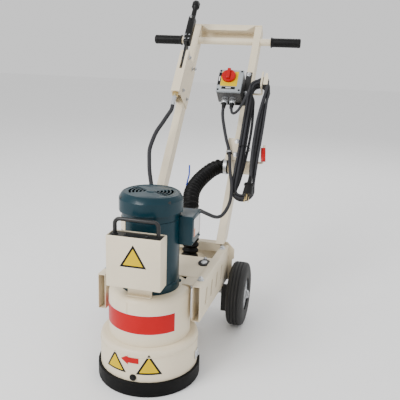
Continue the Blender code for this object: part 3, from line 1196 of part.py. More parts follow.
# ---------------------------------------------------------------- assembly
def build():
    clear_scene()
    machine = add_empty("machine", (0.0, -MIDDLE_Y, 0.0))
    disc = add_empty("disc_axis", (0.0, 0.0, 0.0), 0.0, machine)
    handle = add_empty("handle", (0.0, HANDLE_FOOT_Y, HANDLE_FOOT_Z), -HANDLE_TILT, machine)
    lever = add_empty("lever_axis", on_handle(-UPRIGHT_SPACING, LEVER_PIVOT_AHEAD, LEVER_PIVOT_HEIGHT), 0.0, handle)
    for make in (rubber_skirt, lower_shroud, drum_housing, bearing_housing, spindle_bearing, motor_lower_bell,
                 motor_bearing, motor_shell, motor_upper_bell, fan_cover, stator_core, junction_box, weight_box,
                 weight_cover, weight_handle, weight_slab, weight_hanger, deck_plate, cross_tube, rear_plate, axle,
                 control_cable, dust_hose, motor_lead):
        make(machine)
    for make in (spindle, drive_coupling, grinding_disc, grinding_shoes, cooling_fan, motor_shaft, rotor_core):
        make(disc)
    for side, word in ((-1.0, "left"), (1.0, "right")):
        side_channel(machine, side, f"side_channel_{word}")
        axle_bracket(machine, side, f"axle_bracket_{word}")
        wheel(machine, side, word)
        upright(handle, side, f"upright_{word}")
        grip(handle, side, f"grip_{word}")
    for make in (top_console, handlebar, lever_housing, lever_pin, cable_rod, cable_fitting, switch_bracket, switch_box,
                 switch_lid, switch_knob, hose_plate, mains_cord, cord_hank, mains_plug):
        make(handle)
    lever_arm(lever)


build()
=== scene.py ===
"""Visual model of a walk-behind concrete grinder, laid out as an add-on and run as a script."""

import json
import math

import bmesh
import bpy
from bpy.props import FloatProperty, FloatVectorProperty, IntProperty, PointerProperty
from mathutils import Matrix, Vector


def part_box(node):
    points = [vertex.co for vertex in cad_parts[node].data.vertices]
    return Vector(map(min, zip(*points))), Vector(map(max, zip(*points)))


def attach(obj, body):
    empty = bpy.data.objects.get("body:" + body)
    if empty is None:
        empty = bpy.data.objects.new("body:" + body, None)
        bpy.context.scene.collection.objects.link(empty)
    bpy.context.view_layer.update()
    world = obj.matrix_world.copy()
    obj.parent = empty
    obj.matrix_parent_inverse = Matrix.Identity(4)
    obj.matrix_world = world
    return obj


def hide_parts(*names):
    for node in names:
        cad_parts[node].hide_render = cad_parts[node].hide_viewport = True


bl_info = {
    "name": "Walk-behind grinder looks",
    "version": (1, 0, 0),
    "blender": (4, 5, 0),
    "location": "3D View > Sidebar > Grinder",
    "description": "Dresses the packed grinder with its finishes, cords, labels and small fittings",
    "category": "Object",
}

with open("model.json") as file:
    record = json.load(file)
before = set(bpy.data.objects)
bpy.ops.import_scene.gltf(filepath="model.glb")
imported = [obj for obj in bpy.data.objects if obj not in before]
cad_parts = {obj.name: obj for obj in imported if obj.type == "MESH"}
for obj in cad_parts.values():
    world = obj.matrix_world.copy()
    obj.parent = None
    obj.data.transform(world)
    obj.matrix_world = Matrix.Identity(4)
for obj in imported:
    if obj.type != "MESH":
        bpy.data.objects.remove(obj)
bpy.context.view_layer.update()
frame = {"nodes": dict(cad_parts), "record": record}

SKIRT_LOW, SKIRT_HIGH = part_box("rubber_skirt")
HEAD = Vector(((SKIRT_LOW.x + SKIRT_HIGH.x) / 2.0, (SKIRT_LOW.y + SKIRT_HIGH.y) / 2.0, 0.0))
HANDLE_TILT = math.radians(40.37)
HANDLE = Matrix.Translation(HEAD + Vector((0.0, 0.3766, 0.2954))) @ Matrix.Rotation(-HANDLE_TILT, 4, "X")
UPRIGHT_X = 0.1292
AHEAD = HANDLE.to_3x3() @ Vector((0.0, -1.0, 0.0))
ACROSS = HANDLE.to_3x3() @ Vector((1.0, 0.0, 0.0))

GLAND_AHEAD = 0.0496            # the two glands under the switch box
LEAD_GLAND_X = 0.0565
MAINS_GLAND_X = 0.0865
SWITCH_FACE = 0.0920            # front of the switch lid
SHROUD_SKIN = 0.1431            # where labels lie on the shroud
DRUM_SKIN = 0.1191              # and on the drum
TRIANGLE_SHARE = 0.74           # yellow inside the black border
SMOOTH_ANGLE = 38.0             # degrees, sharper edges stay sharp
ROUTE_STEP = 0.008              # spacing along the lead and the cable
HALF_DIAGONAL = 1.4142          # corner of a square from its half width


def on_handle(x, ahead, height):
    """World point beside the uprights: ahead is towards the front, height runs up the slope."""
    return HANDLE @ Vector((x, -ahead, height))


def handle_spot(x, ahead, height):
    """Place beside the uprights, turned with them."""
    return HANDLE @ Matrix.Translation((x, -ahead, height))


def at_head(x, y, z):
    """World point measured from the disc's axis."""
    return HEAD + Vector((x, y, z))


def head_spot(x, y, z):
    return Matrix.Translation(at_head(x, y, z))


def outward(angle):
    """Level direction at an angle in degrees round the disc's axis."""
    turn = math.radians(angle)
    return Vector((math.cos(turn), math.sin(turn), 0.0))


def round_head(radius, angle, height):
    """World point at a radius and an angle round the disc's axis."""
    out = outward(angle)
    return at_head(radius * out.x, radius * out.y, height)


# ------------------------------------------------------------------ settings
def paint(name, description, default):
    return FloatVectorProperty(name=name, description=description, subtype="COLOR", size=3, default=default,
                               min=0.0, max=1.0)


def length(name, description, default, low, high):
    return FloatProperty(name=name, description=description, default=default, min=low, max=high,
                         unit="LENGTH")


class PaintSettings(bpy.types.PropertyGroup):
    cream: paint("Frame paint", "Powder coat on frame and shrouds", (0.79, 0.69, 0.51))
    teal: paint("Motor enamel", "Enamel on the motor", (0.0016, 0.027, 0.040))
    red: paint("Knob red", "Moulded red of the switch knob", (0.48, 0.0004, 0.002))
    yellow: paint("Plate yellow", "Yellow of the plain plates", (0.70, 0.48, 0.0))


class CordSettings(bpy.types.PropertyGroup):
    cord_diameter: length("Mains cord", "Outer diameter of the mains cord", 0.010, 0.006, 0.016)
    cord_turns: IntProperty(name="Turns", description="Turns of mains cord hung on the hook",
                            default=6, min=2, max=6)
    lead_diameter: length("Motor lead", "Outer diameter of the motor lead", 0.012, 0.006, 0.016)
    cable_diameter: length("Control cable", "Outer diameter of the control cable", 0.015, 0.006, 0.018)
    hose_pitch: length("Hose rib pitch", "Distance from rib to rib on the dust hose", 0.0190, 0.004, 0.02)


class HardwareSettings(bpy.types.PropertyGroup):
    bolt_size: length("Bolt head", "Width of the hexagon bolt heads", 0.0125, 0.006, 0.02)
    edge_round: length("Edge rounding", "Rounding on folded and cut edges", 0.0009, 0.0002, 0.003)
    groove_count: IntProperty(name="Tread grooves", description="Grooves round each tyre",
                              default=3, min=1, max=7)


# ------------------------------------------------------------------ finishes
MOTTLE_EDGES = (0.34, 0.66)     # where the mottled colour changes over
CHIP_EDGES = (0.66, 0.74)       # where paint gives way to wear
CHIP_SCALE = 46.0
GLOSS_TO_BLOTCH = 3.2           # gloss patches to each colour patch
GRAIN_DEPTH = 0.0005


def set_inputs(node, **values):
    """Set a node's inputs by name, with underscores for spaces."""
    for name, value in values.items():
        node.inputs[name.replace("_", " ")].default_value = value


def surface(name, base, tint, roughness, metallic=0.0, grain=500.0, bump=0.12, blotch=7.0, spread=0.07,
            wear=None, wear_amount=0.0, coat=0.0, stretch=(1.0, 1.0, 1.0), spangle=0.0, specular=0.5):
    """A finish with mottled colour, uneven gloss and a fine grain, all from the piece's own place."""
    made = bpy.data.materials.get(name)
    if made:
        return made
    made = bpy.data.materials.new(name)
    made.use_nodes = True
    tree = made.node_tree
    link = tree.links.new

    def add(kind, **values):
        node = tree.nodes.new(f"ShaderNode{kind}")
        set_inputs(node, **values)
        return node

    def noise(**values):
        node = add("TexNoise", **values)
        link(mapping.outputs["Vector"], node.inputs["Vector"])
        return node.outputs["Fac"]

    def colour_mix(blend):
        node = add("Mix")
        node.data_type = "RGBA"
        node.blend_type = blend
        return node

    shader = tree.nodes["Principled BSDF"]
    set_inputs(shader, Metallic=metallic, Coat_Weight=coat, Specular_IOR_Level=specular, Coat_Roughness=0.12)
    mapping = add("Mapping", Scale=stretch)
    link(add("TexCoord").outputs["Object"], mapping.inputs["Vector"])
    ramp = add("ValToRGB")
    for stop, position, shade in zip(ramp.color_ramp.elements, MOTTLE_EDGES, (tint, base)):
        stop.position = position
        stop.color = (*shade, 1.0)
    link(noise(Scale=blotch, Detail=5.0, Roughness=0.62), ramp.inputs["Fac"])
    colour = ramp.outputs["Color"]
    if spangle:
        cells = add("TexVoronoi", Scale=spangle)
        link(mapping.outputs["Vector"], cells.inputs["Vector"])
        flecks = colour_mix("OVERLAY")
        set_inputs(flecks, Factor=0.35)
        link(colour, flecks.inputs[6])
        link(cells.outputs["Color"], flecks.inputs[7])
        grey = add("RGBToBW")
        link(flecks.outputs[2], grey.inputs["Color"])
        colour = grey.outputs["Val"]
    if wear:
        where = add("MapRange", From_Min=CHIP_EDGES[0], From_Max=CHIP_EDGES[1], To_Max=wear_amount)
        link(noise(Scale=CHIP_SCALE, Detail=9.0, Roughness=0.7), where.inputs["Value"])
        worn = colour_mix("MIX")
        worn.inputs[7].default_value = (*wear, 1.0)
        link(where.outputs["Result"], worn.inputs["Factor"])
        link(colour, worn.inputs[6])
        colour = worn.outputs[2]
    link(colour, shader.inputs["Base Color"])
    gloss = add("MapRange", From_Min=0.25, From_Max=0.75, To_Min=max(0.04, roughness - spread),
                To_Max=min(1.0, roughness + spread))
    link(noise(Scale=blotch * GLOSS_TO_BLOTCH, Detail=6.0), gloss.inputs["Value"])
    link(gloss.outputs["Result"], shader.inputs["Roughness"])
    relief = add("Bump", Strength=bump, Distance=GRAIN_DEPTH)
    link(noise(Scale=grain, Detail=3.0), relief.inputs["Height"])
    link(relief.outputs["Normal"], shader.inputs["Normal"])
    return made


def shaded(colour, share):
    """A lighter or darker version of a colour."""
    return tuple(value * share for value in colour)


def finishes():
    """All finishes of the machine by name."""
    paints = bpy.context.scene.grinder_paints
    cream = tuple(paints.cream)
    teal = tuple(paints.teal)
    red = tuple(paints.red)
    yellow = tuple(paints.yellow)
    return {
        "cream": surface("cream_powder_coat", cream, shaded(cream, 0.93), 0.42, grain=620.0, bump=0.10,
                         spread=0.06, wear=(0.42, 0.37, 0.30), wear_amount=0.35),
        "teal": surface("teal_enamel", teal, shaded(teal, 0.78), 0.33, grain=380.0, bump=0.14,
                        spread=0.07, wear=shaded(teal, 2.4), wear_amount=0.4, coat=0.10,
                        specular=0.22),
        "skirt": surface("skirt_rubber", (0.0022, 0.0022, 0.0024), (0.0045, 0.0043, 0.0042), 0.58,
                         grain=900.0,
                         bump=0.25, wear=(0.03, 0.028, 0.025), wear_amount=0.3, specular=0.14),
        "tyre": surface("tyre_rubber", (0.0045, 0.0045, 0.0048), (0.0085, 0.0082, 0.0078), 0.66, grain=700.0,
                        bump=0.3, wear=(0.04, 0.037, 0.033), wear_amount=0.35, specular=0.22),
        "hose": surface("hose_rubber", (0.0018, 0.0018, 0.0020), (0.0040, 0.0038, 0.0036), 0.46, grain=800.0,
                        bump=0.15, wear=(0.02, 0.018, 0.016), wear_amount=0.3, specular=0.13),
        "grip": surface("grip_rubber", (0.0028, 0.0028, 0.0030), (0.0050, 0.0050, 0.0050), 0.52, grain=1100.0,
                        bump=0.25, wear=(0.02, 0.02, 0.02), wear_amount=0.25, specular=0.22),
        "jacket": surface("cord_jacket", (0.0035, 0.0037, 0.0045), (0.0065, 0.0068, 0.0078), 0.38,
                          grain=900.0,
                          bump=0.12, blotch=18.0, wear=(0.03, 0.03, 0.03), wear_amount=0.3, specular=0.24),
        "black_plastic": surface("black_moulding", (0.0026, 0.0026, 0.0028), (0.0050, 0.0050, 0.0052), 0.40,
                                 grain=1500.0, bump=0.2, wear=(0.02, 0.02, 0.02), wear_amount=0.2,
                                 specular=0.25),
        "black_paint": surface("black_paint", (0.0022, 0.0022, 0.0024), (0.0045, 0.0045, 0.0045), 0.34,
                               grain=700.0, bump=0.12, wear=(0.06, 0.056, 0.05), wear_amount=0.35,
                               specular=0.3),
        "zinc": surface("zinc_plate", (0.46, 0.47, 0.49), (0.30, 0.31, 0.33), 0.30, metallic=1.0, grain=420.0,
                        bump=0.06, spread=0.1, spangle=260.0),
        "rim": surface("rim_zinc", (0.52, 0.53, 0.54), (0.40, 0.41, 0.43), 0.42, metallic=0.75, grain=420.0,
                       bump=0.08, spread=0.1, wear=(0.20, 0.19, 0.18), wear_amount=0.4),
        "steel": surface("machined_steel", (0.56, 0.56, 0.57), (0.42, 0.42, 0.43), 0.28, metallic=1.0,
                         grain=300.0, bump=0.08, stretch=(1.0, 1.0, 9.0)),
        "chrome": surface("bright_steel", (0.52, 0.53, 0.55), (0.38, 0.39, 0.41), 0.17, metallic=1.0,
                          grain=300.0,
                          bump=0.03, spread=0.05),
        "brass": surface("brass", (0.66, 0.50, 0.22), (0.50, 0.36, 0.15), 0.32, metallic=1.0, grain=400.0,
                         bump=0.06),
        "iron": surface("cast_iron", (0.10, 0.10, 0.105), (0.06, 0.058, 0.056), 0.62, metallic=0.8,
                        grain=260.0,
                        bump=0.5, wear=(0.20, 0.10, 0.05), wear_amount=0.5),
        "red": surface("red_moulding", red, shaded(red, 0.82), 0.30, grain=900.0, bump=0.05, specular=0.3),
        "red_label": surface("red_vinyl", (0.50, 0.001, 0.005), (0.44, 0.001, 0.004), 0.40, grain=500.0,
                             bump=0.04, specular=0.2),
        "yellow": surface("yellow_vinyl", yellow, shaded(yellow, 0.90), 0.42, grain=600.0, bump=0.04,
                          specular=0.08),
        "black_label": surface("black_vinyl", (0.003, 0.003, 0.003), (0.005, 0.005, 0.005), 0.4, grain=600.0,
                               bump=0.04, specular=0.2),
        "white_label": surface("white_vinyl", (0.80, 0.80, 0.79), (0.72, 0.72, 0.70), 0.4, grain=600.0,
                               bump=0.04),
        "orange": surface("orange_vinyl", (0.72, 0.20, 0.05), (0.62, 0.17, 0.04), 0.4, grain=600.0,
                          bump=0.04),
        "grey": surface("grey_moulding", (0.070, 0.070, 0.070), (0.055, 0.055, 0.055), 0.52, grain=1200.0,
                        bump=0.22,
                        wear=(0.2, 0.2, 0.2), wear_amount=0.2),
        "light_grey": surface("light_grey_moulding", (0.33, 0.36, 0.38), (0.29, 0.32, 0.34), 0.45,
                              grain=1200.0,
                              bump=0.16, wear=(0.35, 0.35, 0.35), wear_amount=0.2),
        "blue": surface("blue_nylon", (0.012, 0.055, 0.42), (0.010, 0.04, 0.32), 0.35, grain=500.0,
                        bump=0.05),
    }


def finish(name):
    return finishes()[name]


def add_piece(name, bm, finish_name, body="machine", smooth=SMOOTH_ANGLE):
    """Turn a bmesh into a finished piece that rides on a body."""
    bmesh.ops.remove_doubles(bm, verts=bm.verts, dist=1e-6)
    bmesh.ops.recalc_face_normals(bm, faces=bm.faces)
    mesh = bpy.data.meshes.new(name)
    bm.to_mesh(mesh)
    bm.free()
    return add_mesh(name, mesh, finish_name, body, smooth)


def add_mesh(name, mesh, finish_name, body, smooth=SMOOTH_ANGLE, bevel=0.0):
    mesh.shade_smooth()
    mesh.set_sharp_from_angle(angle=math.radians(smooth))
    mesh.materials.clear()
    mesh.materials.append(finish(finish_name))
    piece = bpy.data.objects.new(name, mesh)
    bpy.context.scene.collection.objects.link(piece)
    if bevel:
        rounding = piece.modifiers.new("edge_rounding", "BEVEL")
        rounding.width = bevel
        rounding.segments = 2
        rounding.limit_method = "ANGLE"
        rounding.angle_limit = math.radians(40.0)
        rounding.harden_normals = True
    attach(piece, body)
    return piece


def body_of_node(node):
    for body, nodes in frame["record"]["behaviour"]["bodies"].items():
        if node in nodes:
            return body
    raise ValueError(f"no body holds {node}")


def dress(node, finish_name, bevel=0.0, smooth=SMOOTH_ANGLE):
    """Show a merged, smooth copy of a node with its edges rounded."""
    source = frame["nodes"][node]
    bm = bmesh.new()
    bm.from_mesh(source.data)
    bmesh.ops.remove_doubles(bm, verts=bm.verts, dist=2e-6)
    bmesh.ops.dissolve_limit(bm, angle_limit=math.radians(0.6), verts=bm.verts, edges=bm.edges)
    mesh = bpy.data.meshes.new(f"{node}_shell")
    bm.to_mesh(mesh)
    bm.free()
    piece = add_mesh(f"{node}_shell", mesh, finish_name, body_of_node(node), smooth,
                     bevel)
    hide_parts(node)


def paint_nodes(finish_name, *nodes):
    """Give nodes that keep their own meshes a finish."""
    for node in nodes:
        source = frame["nodes"][node]
        if not source.material_slots:
            source.data.materials.append(finish(finish_name))
        for held in source.material_slots:
            held.material = finish(finish_name)


def spun(profile, steps=48, closed=False):
    """Spin (radius, height) points about Z into a closed shape."""
    bm = bmesh.new()
    points = [bm.verts.new((radius, 0.0, height)) for radius, height in profile]
    edges = [bm.edges.new(pair) for pair in zip(points, points[1:])]
    if closed:
        edges.append(bm.edges.new((points[-1], points[0])))
    bmesh.ops.spin(bm, geom=points + edges, cent=(0, 0, 0), axis=(0, 0, 1), dvec=(0, 0, 0), angle=math.tau,
                   steps=steps, use_merge=True, use_duplicate=False)
    bmesh.ops.remove_doubles(bm, verts=bm.verts, dist=1e-6)
    bmesh.ops.dissolve_degenerate(bm, edges=bm.edges, dist=1e-7)
    return bm


def band(inner, outer, half, steps):
    """Ring with a square cross-section, centred on the point."""
    return spun([(inner, -half), (outer, -half), (outer, half), (inner, half)], steps, closed=True)


def moved(bm, matrix):
    bmesh.ops.transform(bm, matrix=matrix, verts=bm.verts)
    return bm


def absorb(bm, other):
    """Move another bmesh's faces into a bmesh."""
    held = bpy.data.meshes.new("held")
    other.to_mesh(held)
    other.free()
    bm.from_mesh(held)
    bpy.data.meshes.remove(held)


def aim(point, direction, about=0.0):
    """Matrix that puts a shape made along Z at a point, facing a direction."""
    turn = Vector(direction).to_track_quat("Z", "Y").to_matrix().to_4x4()
    return Matrix.Translation(Vector(point)) @ turn @ Matrix.Rotation(about, 4, "Z")


def rounded(bm, edges, made, bevel):
    """Round edges, and return the points that are left with the new ones."""
    done = bmesh.ops.bevel(bm, geom=edges, offset=bevel, offset_type="OFFSET", segments=2, profile=0.5,
                           affect="EDGES", clamp_overlap=True, material=-1)
    return list({vert for face in done["faces"] for vert in face.verts} | {v for v in made if v.is_valid})


def block(bm, size, matrix, bevel=0.0):
    """Add a box with rounded edges to a bmesh."""
    made = bmesh.ops.create_cube(bm, size=1.0)["verts"]
    bmesh.ops.scale(bm, vec=size, verts=made)
    if bevel:
        made = rounded(bm, list({edge for vert in made for edge in vert.link_edges}), made, bevel)
    bmesh.ops.transform(bm, matrix=matrix, verts=made)


def disc(bm, radius, height, matrix, sides=24, top=None, bevel=0.0):
    """Add a round or many-sided boss, standing on the point, to a bmesh."""
    made = bmesh.ops.create_cone(bm, cap_ends=True, cap_tris=False, segments=sides, radius1=radius,
                                 radius2=radius if top is None else top, depth=height)["verts"]
    bmesh.ops.translate(bm, vec=(0.0, 0.0, height / 2.0), verts=made)
    if bevel:
        rim = [edge for edge in {edge for vert in made for edge in vert.link_edges}
               if all(vert.co.z > height - 1e-6 for vert in edge.verts)]
        made = rounded(bm, rim, made, bevel)
    bmesh.ops.transform(bm, matrix=matrix, verts=made)


def plates(name, finish_name, rows, bevel=0.0):
    """One piece made of flat blocks, each with its size and place."""
    bm = bmesh.new()
    for size, place in rows:
        block(bm, size, place, bevel)
    add_piece(name, bm, finish_name)


def bolt(bm, point, direction, across=None, washer=True, about=0.3):
    """Hexagon bolt head with its washer and the rounded end of its thread."""
    across = across or bpy.context.scene.grinder_hardware.bolt_size
    base = aim(point, direction, about)
    lift = 0.0
    if washer:
        disc(bm, across * 0.78, across * 0.12, base, 28, bevel=across * 0.03)
        lift = across * 0.12
    disc(bm, across * 0.577, across * 0.50, base @ Matrix.Translation((0.0, 0.0, lift)), 6,
         bevel=across * 0.06)
    disc(bm, across * 0.27, across * 0.18, base @ Matrix.Translation((0.0, 0.0, lift + across * 0.5)), 16,
         bevel=across * 0.05)


def button_screw(bm, point, direction, radius=0.004, height=0.0022):
    """Domed screw head."""
    base = aim(point, direction)
    disc(bm, radius, height * 0.6, base, 20)
    disc(bm, radius, height * 0.7, base @ Matrix.Translation((0.0, 0.0, height * 0.6)), 20, top=radius * 0.55)


def smooth_route(points, spacing):
    """Points of a curve through the route, about one spacing apart."""
    knots = [Vector(p) for p in points]
    knots = [knots[0] * 2 - knots[1]] + knots + [knots[-1] * 2 - knots[-2]]
    made = []
    for a, b, c, d in zip(knots, knots[1:], knots[2:], knots[3:]):
        steps = max(1, round((c - b).length / spacing))
        for i in range(steps):
            t = i / steps
            made.append(0.5 * (2 * b + (c - a) * t + (2 * a - 5 * b + 4 * c - d) * t * t
                               + (3 * b - a - 3 * c + d) * t ** 3))
    made.append(knots[-2])
    return made


def cord_curve(name, points, diameter, body="machine"):
    """Cord of one open spline with filled ends."""
    curve = bpy.data.curves.new(name, "CURVE")
    curve.dimensions = "3D"
    curve.bevel_depth = diameter / 2.0
    curve.bevel_resolution = 5
    curve.use_fill_caps = True
    spline = curve.splines.new("POLY")
    spline.points.add(len(points) - 1)
    for held, point in zip(spline.points, points):
        held.co = (*point, 1.0)
    spline.use_smooth = True
    curve.materials.append(finish("jacket"))
    piece = bpy.data.objects.new(name, curve)
    bpy.context.scene.collection.objects.link(piece)
    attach(piece, body)
    return piece


def tube_bm(points, radii, sides=24):
    """Closed tube along points with a radius at each."""
    bm = bmesh.new()
    across = None
    rings = []
    for i, (point, radius) in enumerate(zip(points, radii)):
        along = (points[min(i + 1, len(points) - 1)] - points[max(i - 1, 0)]).normalized()
        across = across or along.orthogonal().normalized()
        across = (across - along * across.dot(along)).normalized()
        place = Matrix.Translation(point) @ Matrix((across, along.cross(across), along)).transposed().to_4x4()
        made = bmesh.ops.create_circle(bm, cap_ends=False, segments=sides, radius=radius,
                                       matrix=place)["verts"]
        rings.append(list({edge for vert in made for edge in vert.link_edges}))
    for first, second in zip(rings, rings[1:]):
        bmesh.ops.bridge_loops(bm, edges=first + second)
    for ring in (rings[0], rings[-1]):
        bmesh.ops.contextual_create(bm, geom=ring)
    return bm


# ------------------------------------------------------------------ cords and hose
def mains_route():
    """Mains cord: out of the switch gland, round a hanging loop, then onto the hank."""
    return [on_handle(*point) for point in (
        (0.0865, 0.0496, 0.5397), (0.0865, 0.0496, 0.5257), (0.0915, 0.0600, 0.5040),
        (0.0990, 0.0720, 0.4840),
        (0.1110, 0.0860, 0.4740), (0.1240, 0.0970, 0.4790), (0.1340, 0.1020, 0.4980),
        (0.1400, 0.0990, 0.5240),
        (0.1435, 0.0900, 0.5500), (0.1455, 0.0780, 0.5740), (0.1462, 0.0670, 0.5960),
        (0.1455, 0.0560, 0.6140))]


HANK_X = 0.180
HANK_LOW = 0.142
HANK_TOP = 0.661
HANK_RADIUS = 0.042
HANK_BACK = 0.0188
HANK_DEPTH = 0.036
PLUG = (0.206, 0.078, 0.196)


def hank_turn(outer, layer, index, diameter):
    """One turn of the hank: over the top, down its right side, round the foot and up its left side."""
    radius = HANK_RADIUS - diameter * (0.52 if outer else 1.58)
    ahead = HANK_BACK + HANK_DEPTH - diameter * 0.53 - layer * diameter * 1.26
    top = HANK_TOP - HANK_RADIUS - 0.002 * layer
    foot = HANK_LOW + HANK_RADIUS + 0.002 * layer
    points = []
    steps, legs = 9, 12
    for part, (centre, start, end) in enumerate(((top, 180.0, 0.0), (foot, 0.0, -180.0))):
        for i in range(steps + 1):
            turn = math.radians(start + (end - start) * i / steps)
            points.append((HANK_X + radius * math.cos(turn), ahead, centre + radius * math.sin(turn)))
        side = 1.0 if part == 0 else -1.0
        for i in range(1, legs):
            t = i / legs
            height = (top + (foot - top) * t) if part == 0 else (foot + (top - foot) * t)
            sway = math.sin(math.pi * t) ** 2 * 0.0012 * math.sin(5.0 * t + index)
            inset = 0.0 if outer else 0.0020 + 0.0028 * layer * (1 + part) / 2.0
            pull = layer * (0.0052 + 0.0006 * part) + inset
            pinch = -side * pull * math.sin(math.pi * t) ** 0.7
            points.append((HANK_X + side * radius + sway + pinch, ahead, height))
    return points


def mains_cord_points(diameter, turns):
    route = mains_route()
    order = [(True, 0), (False, 0), (False, 1), (True, 1), (False, 2), (True, 2)][-turns:]
    wound = []
    for index, (outer, layer) in enumerate(order):
        wound += hank_turn(outer, layer, index, diameter)
    x, ahead, top = PLUG
    front = HANK_BACK + HANK_DEPTH + diameter * 0.62
    back = HANK_BACK + HANK_DEPTH - diameter * 3.05
    over = HANK_TOP - HANK_RADIUS
    reach = HANK_RADIUS + diameter * 0.62
    tail = []
    for turn in range(150, 29, -20):
        share = (150 - turn) / 120.0
        tail.append((HANK_X + reach * math.cos(math.radians(turn)) * (1.0 - 0.25 * share),
                     back + (front - back) * share * share * (3.0 - 2.0 * share),
                     over + reach * math.sin(math.radians(turn))))
    tail += [(HANK_X + 0.0300, front + 0.002, 0.6000), (HANK_X + 0.0230, front + 0.001, 0.5500),
             (HANK_X + 0.0160, front + 0.001, 0.4700), (HANK_X + 0.0150, front + 0.002, 0.3900),
             (HANK_X + 0.0170, front + 0.006, 0.3200), (x - 0.0055, ahead - 0.0080, 0.2650),
             (x - 0.0008, ahead - 0.0010, top + 0.0300), (x, ahead, top + 0.0030)]
    return smooth_route(route + [on_handle(*point) for point in wound + tail], diameter * 0.9)


def build_cords():
    settings = bpy.context.scene.grinder_cords
    diameter = settings.cord_diameter
    points = mains_cord_points(diameter, settings.cord_turns)
    cord = cord_curve("mains_cord_run", points, diameter)
    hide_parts("mains_cord", "cord_hank")
    plug = build_plug()
    lead = [on_handle(*point) for point in (
        (0.0565, 0.0496, 0.5397), (0.0565, 0.0496, 0.5097), (0.0610, 0.0480, 0.4790),
        (0.0740, 0.0450, 0.4330),
        (0.0890, 0.0410, 0.3870), (0.1000, 0.0350, 0.3590), (0.1072, 0.0310, 0.3360),
        (0.1150, 0.0400, 0.3030),
        (0.1230, 0.0510, 0.2660), (0.1330, 0.0605, 0.2280), (0.1425, 0.0625, 0.1935),
        (0.1468, 0.0625, 0.1624),
        (0.1476, 0.0600, 0.1300))]
    lead += [at_head(*point) for point in (
        (0.1428, 0.3942, 0.4118), (0.1318, 0.3730, 0.3930), (0.1213, 0.3500, 0.3900),
        (0.1120, 0.3200, 0.3990),
        (0.1027, 0.2850, 0.4150), (0.0950, 0.2450, 0.4330), (0.0930, 0.2000, 0.4510),
        (0.0960, 0.1600, 0.4630),
        (0.0980, 0.1350, 0.4710), (0.0980, 0.1123, 0.4710))]
    lead_run = cord_curve("motor_lead_run", smooth_route(lead, ROUTE_STEP), settings.lead_diameter)
    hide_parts("motor_lead")
    cable = [on_handle(-UPRIGHT_X, 0.092, 0.4887), on_handle(-UPRIGHT_X, 0.092, 0.4687)]
    cable += [at_head(*point) for point in (
        (-0.1365, 0.5870, 0.6935), (-0.1465, 0.5570, 0.6680), (-0.1590, 0.5250, 0.6390),
        (-0.1645, 0.4950, 0.6090),
        (-0.1661, 0.4680, 0.5785), (-0.1597, 0.4470, 0.5461), (-0.1527, 0.4300, 0.5135),
        (-0.1438, 0.4180, 0.4802),
        (-0.1340, 0.4080, 0.4450), (-0.1220, 0.3980, 0.4000), (-0.1080, 0.3860, 0.3600),
        (-0.0970, 0.3760, 0.3300),
        (-0.0960, 0.3750, 0.3100), (-0.0960, 0.3750, 0.2923))]
    cable_run = cord_curve("control_cable_run", smooth_route(cable, ROUTE_STEP), settings.cable_diameter)
    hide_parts("control_cable")
    sleeves = bmesh.new()
    for x in (LEAD_GLAND_X, MAINS_GLAND_X):
        disc(sleeves, 0.0068, 0.022, handle_spot(x, GLAND_AHEAD, 0.5185), 20, top=0.0095)
    disc(sleeves, 0.0066, 0.024, aim(at_head(0.0980, 0.1360, 0.4710), (0.0, -1.0, 0.0)), 20, top=0.0090)
    add_piece("strain_reliefs", sleeves, "black_plastic")


def build_plug():
    x, ahead, top = PLUG
    place = handle_spot(x, ahead, top)
    body = spun([(0.0, -0.048), (0.0165, -0.048), (0.0175, -0.0465), (0.0165, -0.036), (0.0148, -0.020),
                 (0.0140, -0.0125), (0.0170, -0.0105), (0.0170, -0.0060), (0.0130, -0.0045),
                 (0.0085, -0.0030),
                 (0.0080, 0.0020), (0.0072, 0.0025), (0.0072, 0.0055), (0.0066, 0.0060), (0.0066, 0.0090),
                 (0.0056, 0.0240), (0.0, 0.0240)], 36)
    bodies = [add_piece("plug_body", moved(body, place), "black_plastic")]
    blades = bmesh.new()
    for shift in (-0.0065, 0.0065):
        block(blades, (0.0015, 0.0063, 0.030), place @ Matrix.Translation((shift, 0.0, -0.061)), 0.0005)
    disc(blades, 0.0024, 0.024, place @ Matrix.Translation((0.0, -0.010, -0.072)), 16)
    bodies.append(add_piece("plug_blades", blades, "brass"))
    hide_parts("mains_plug")
    return bodies


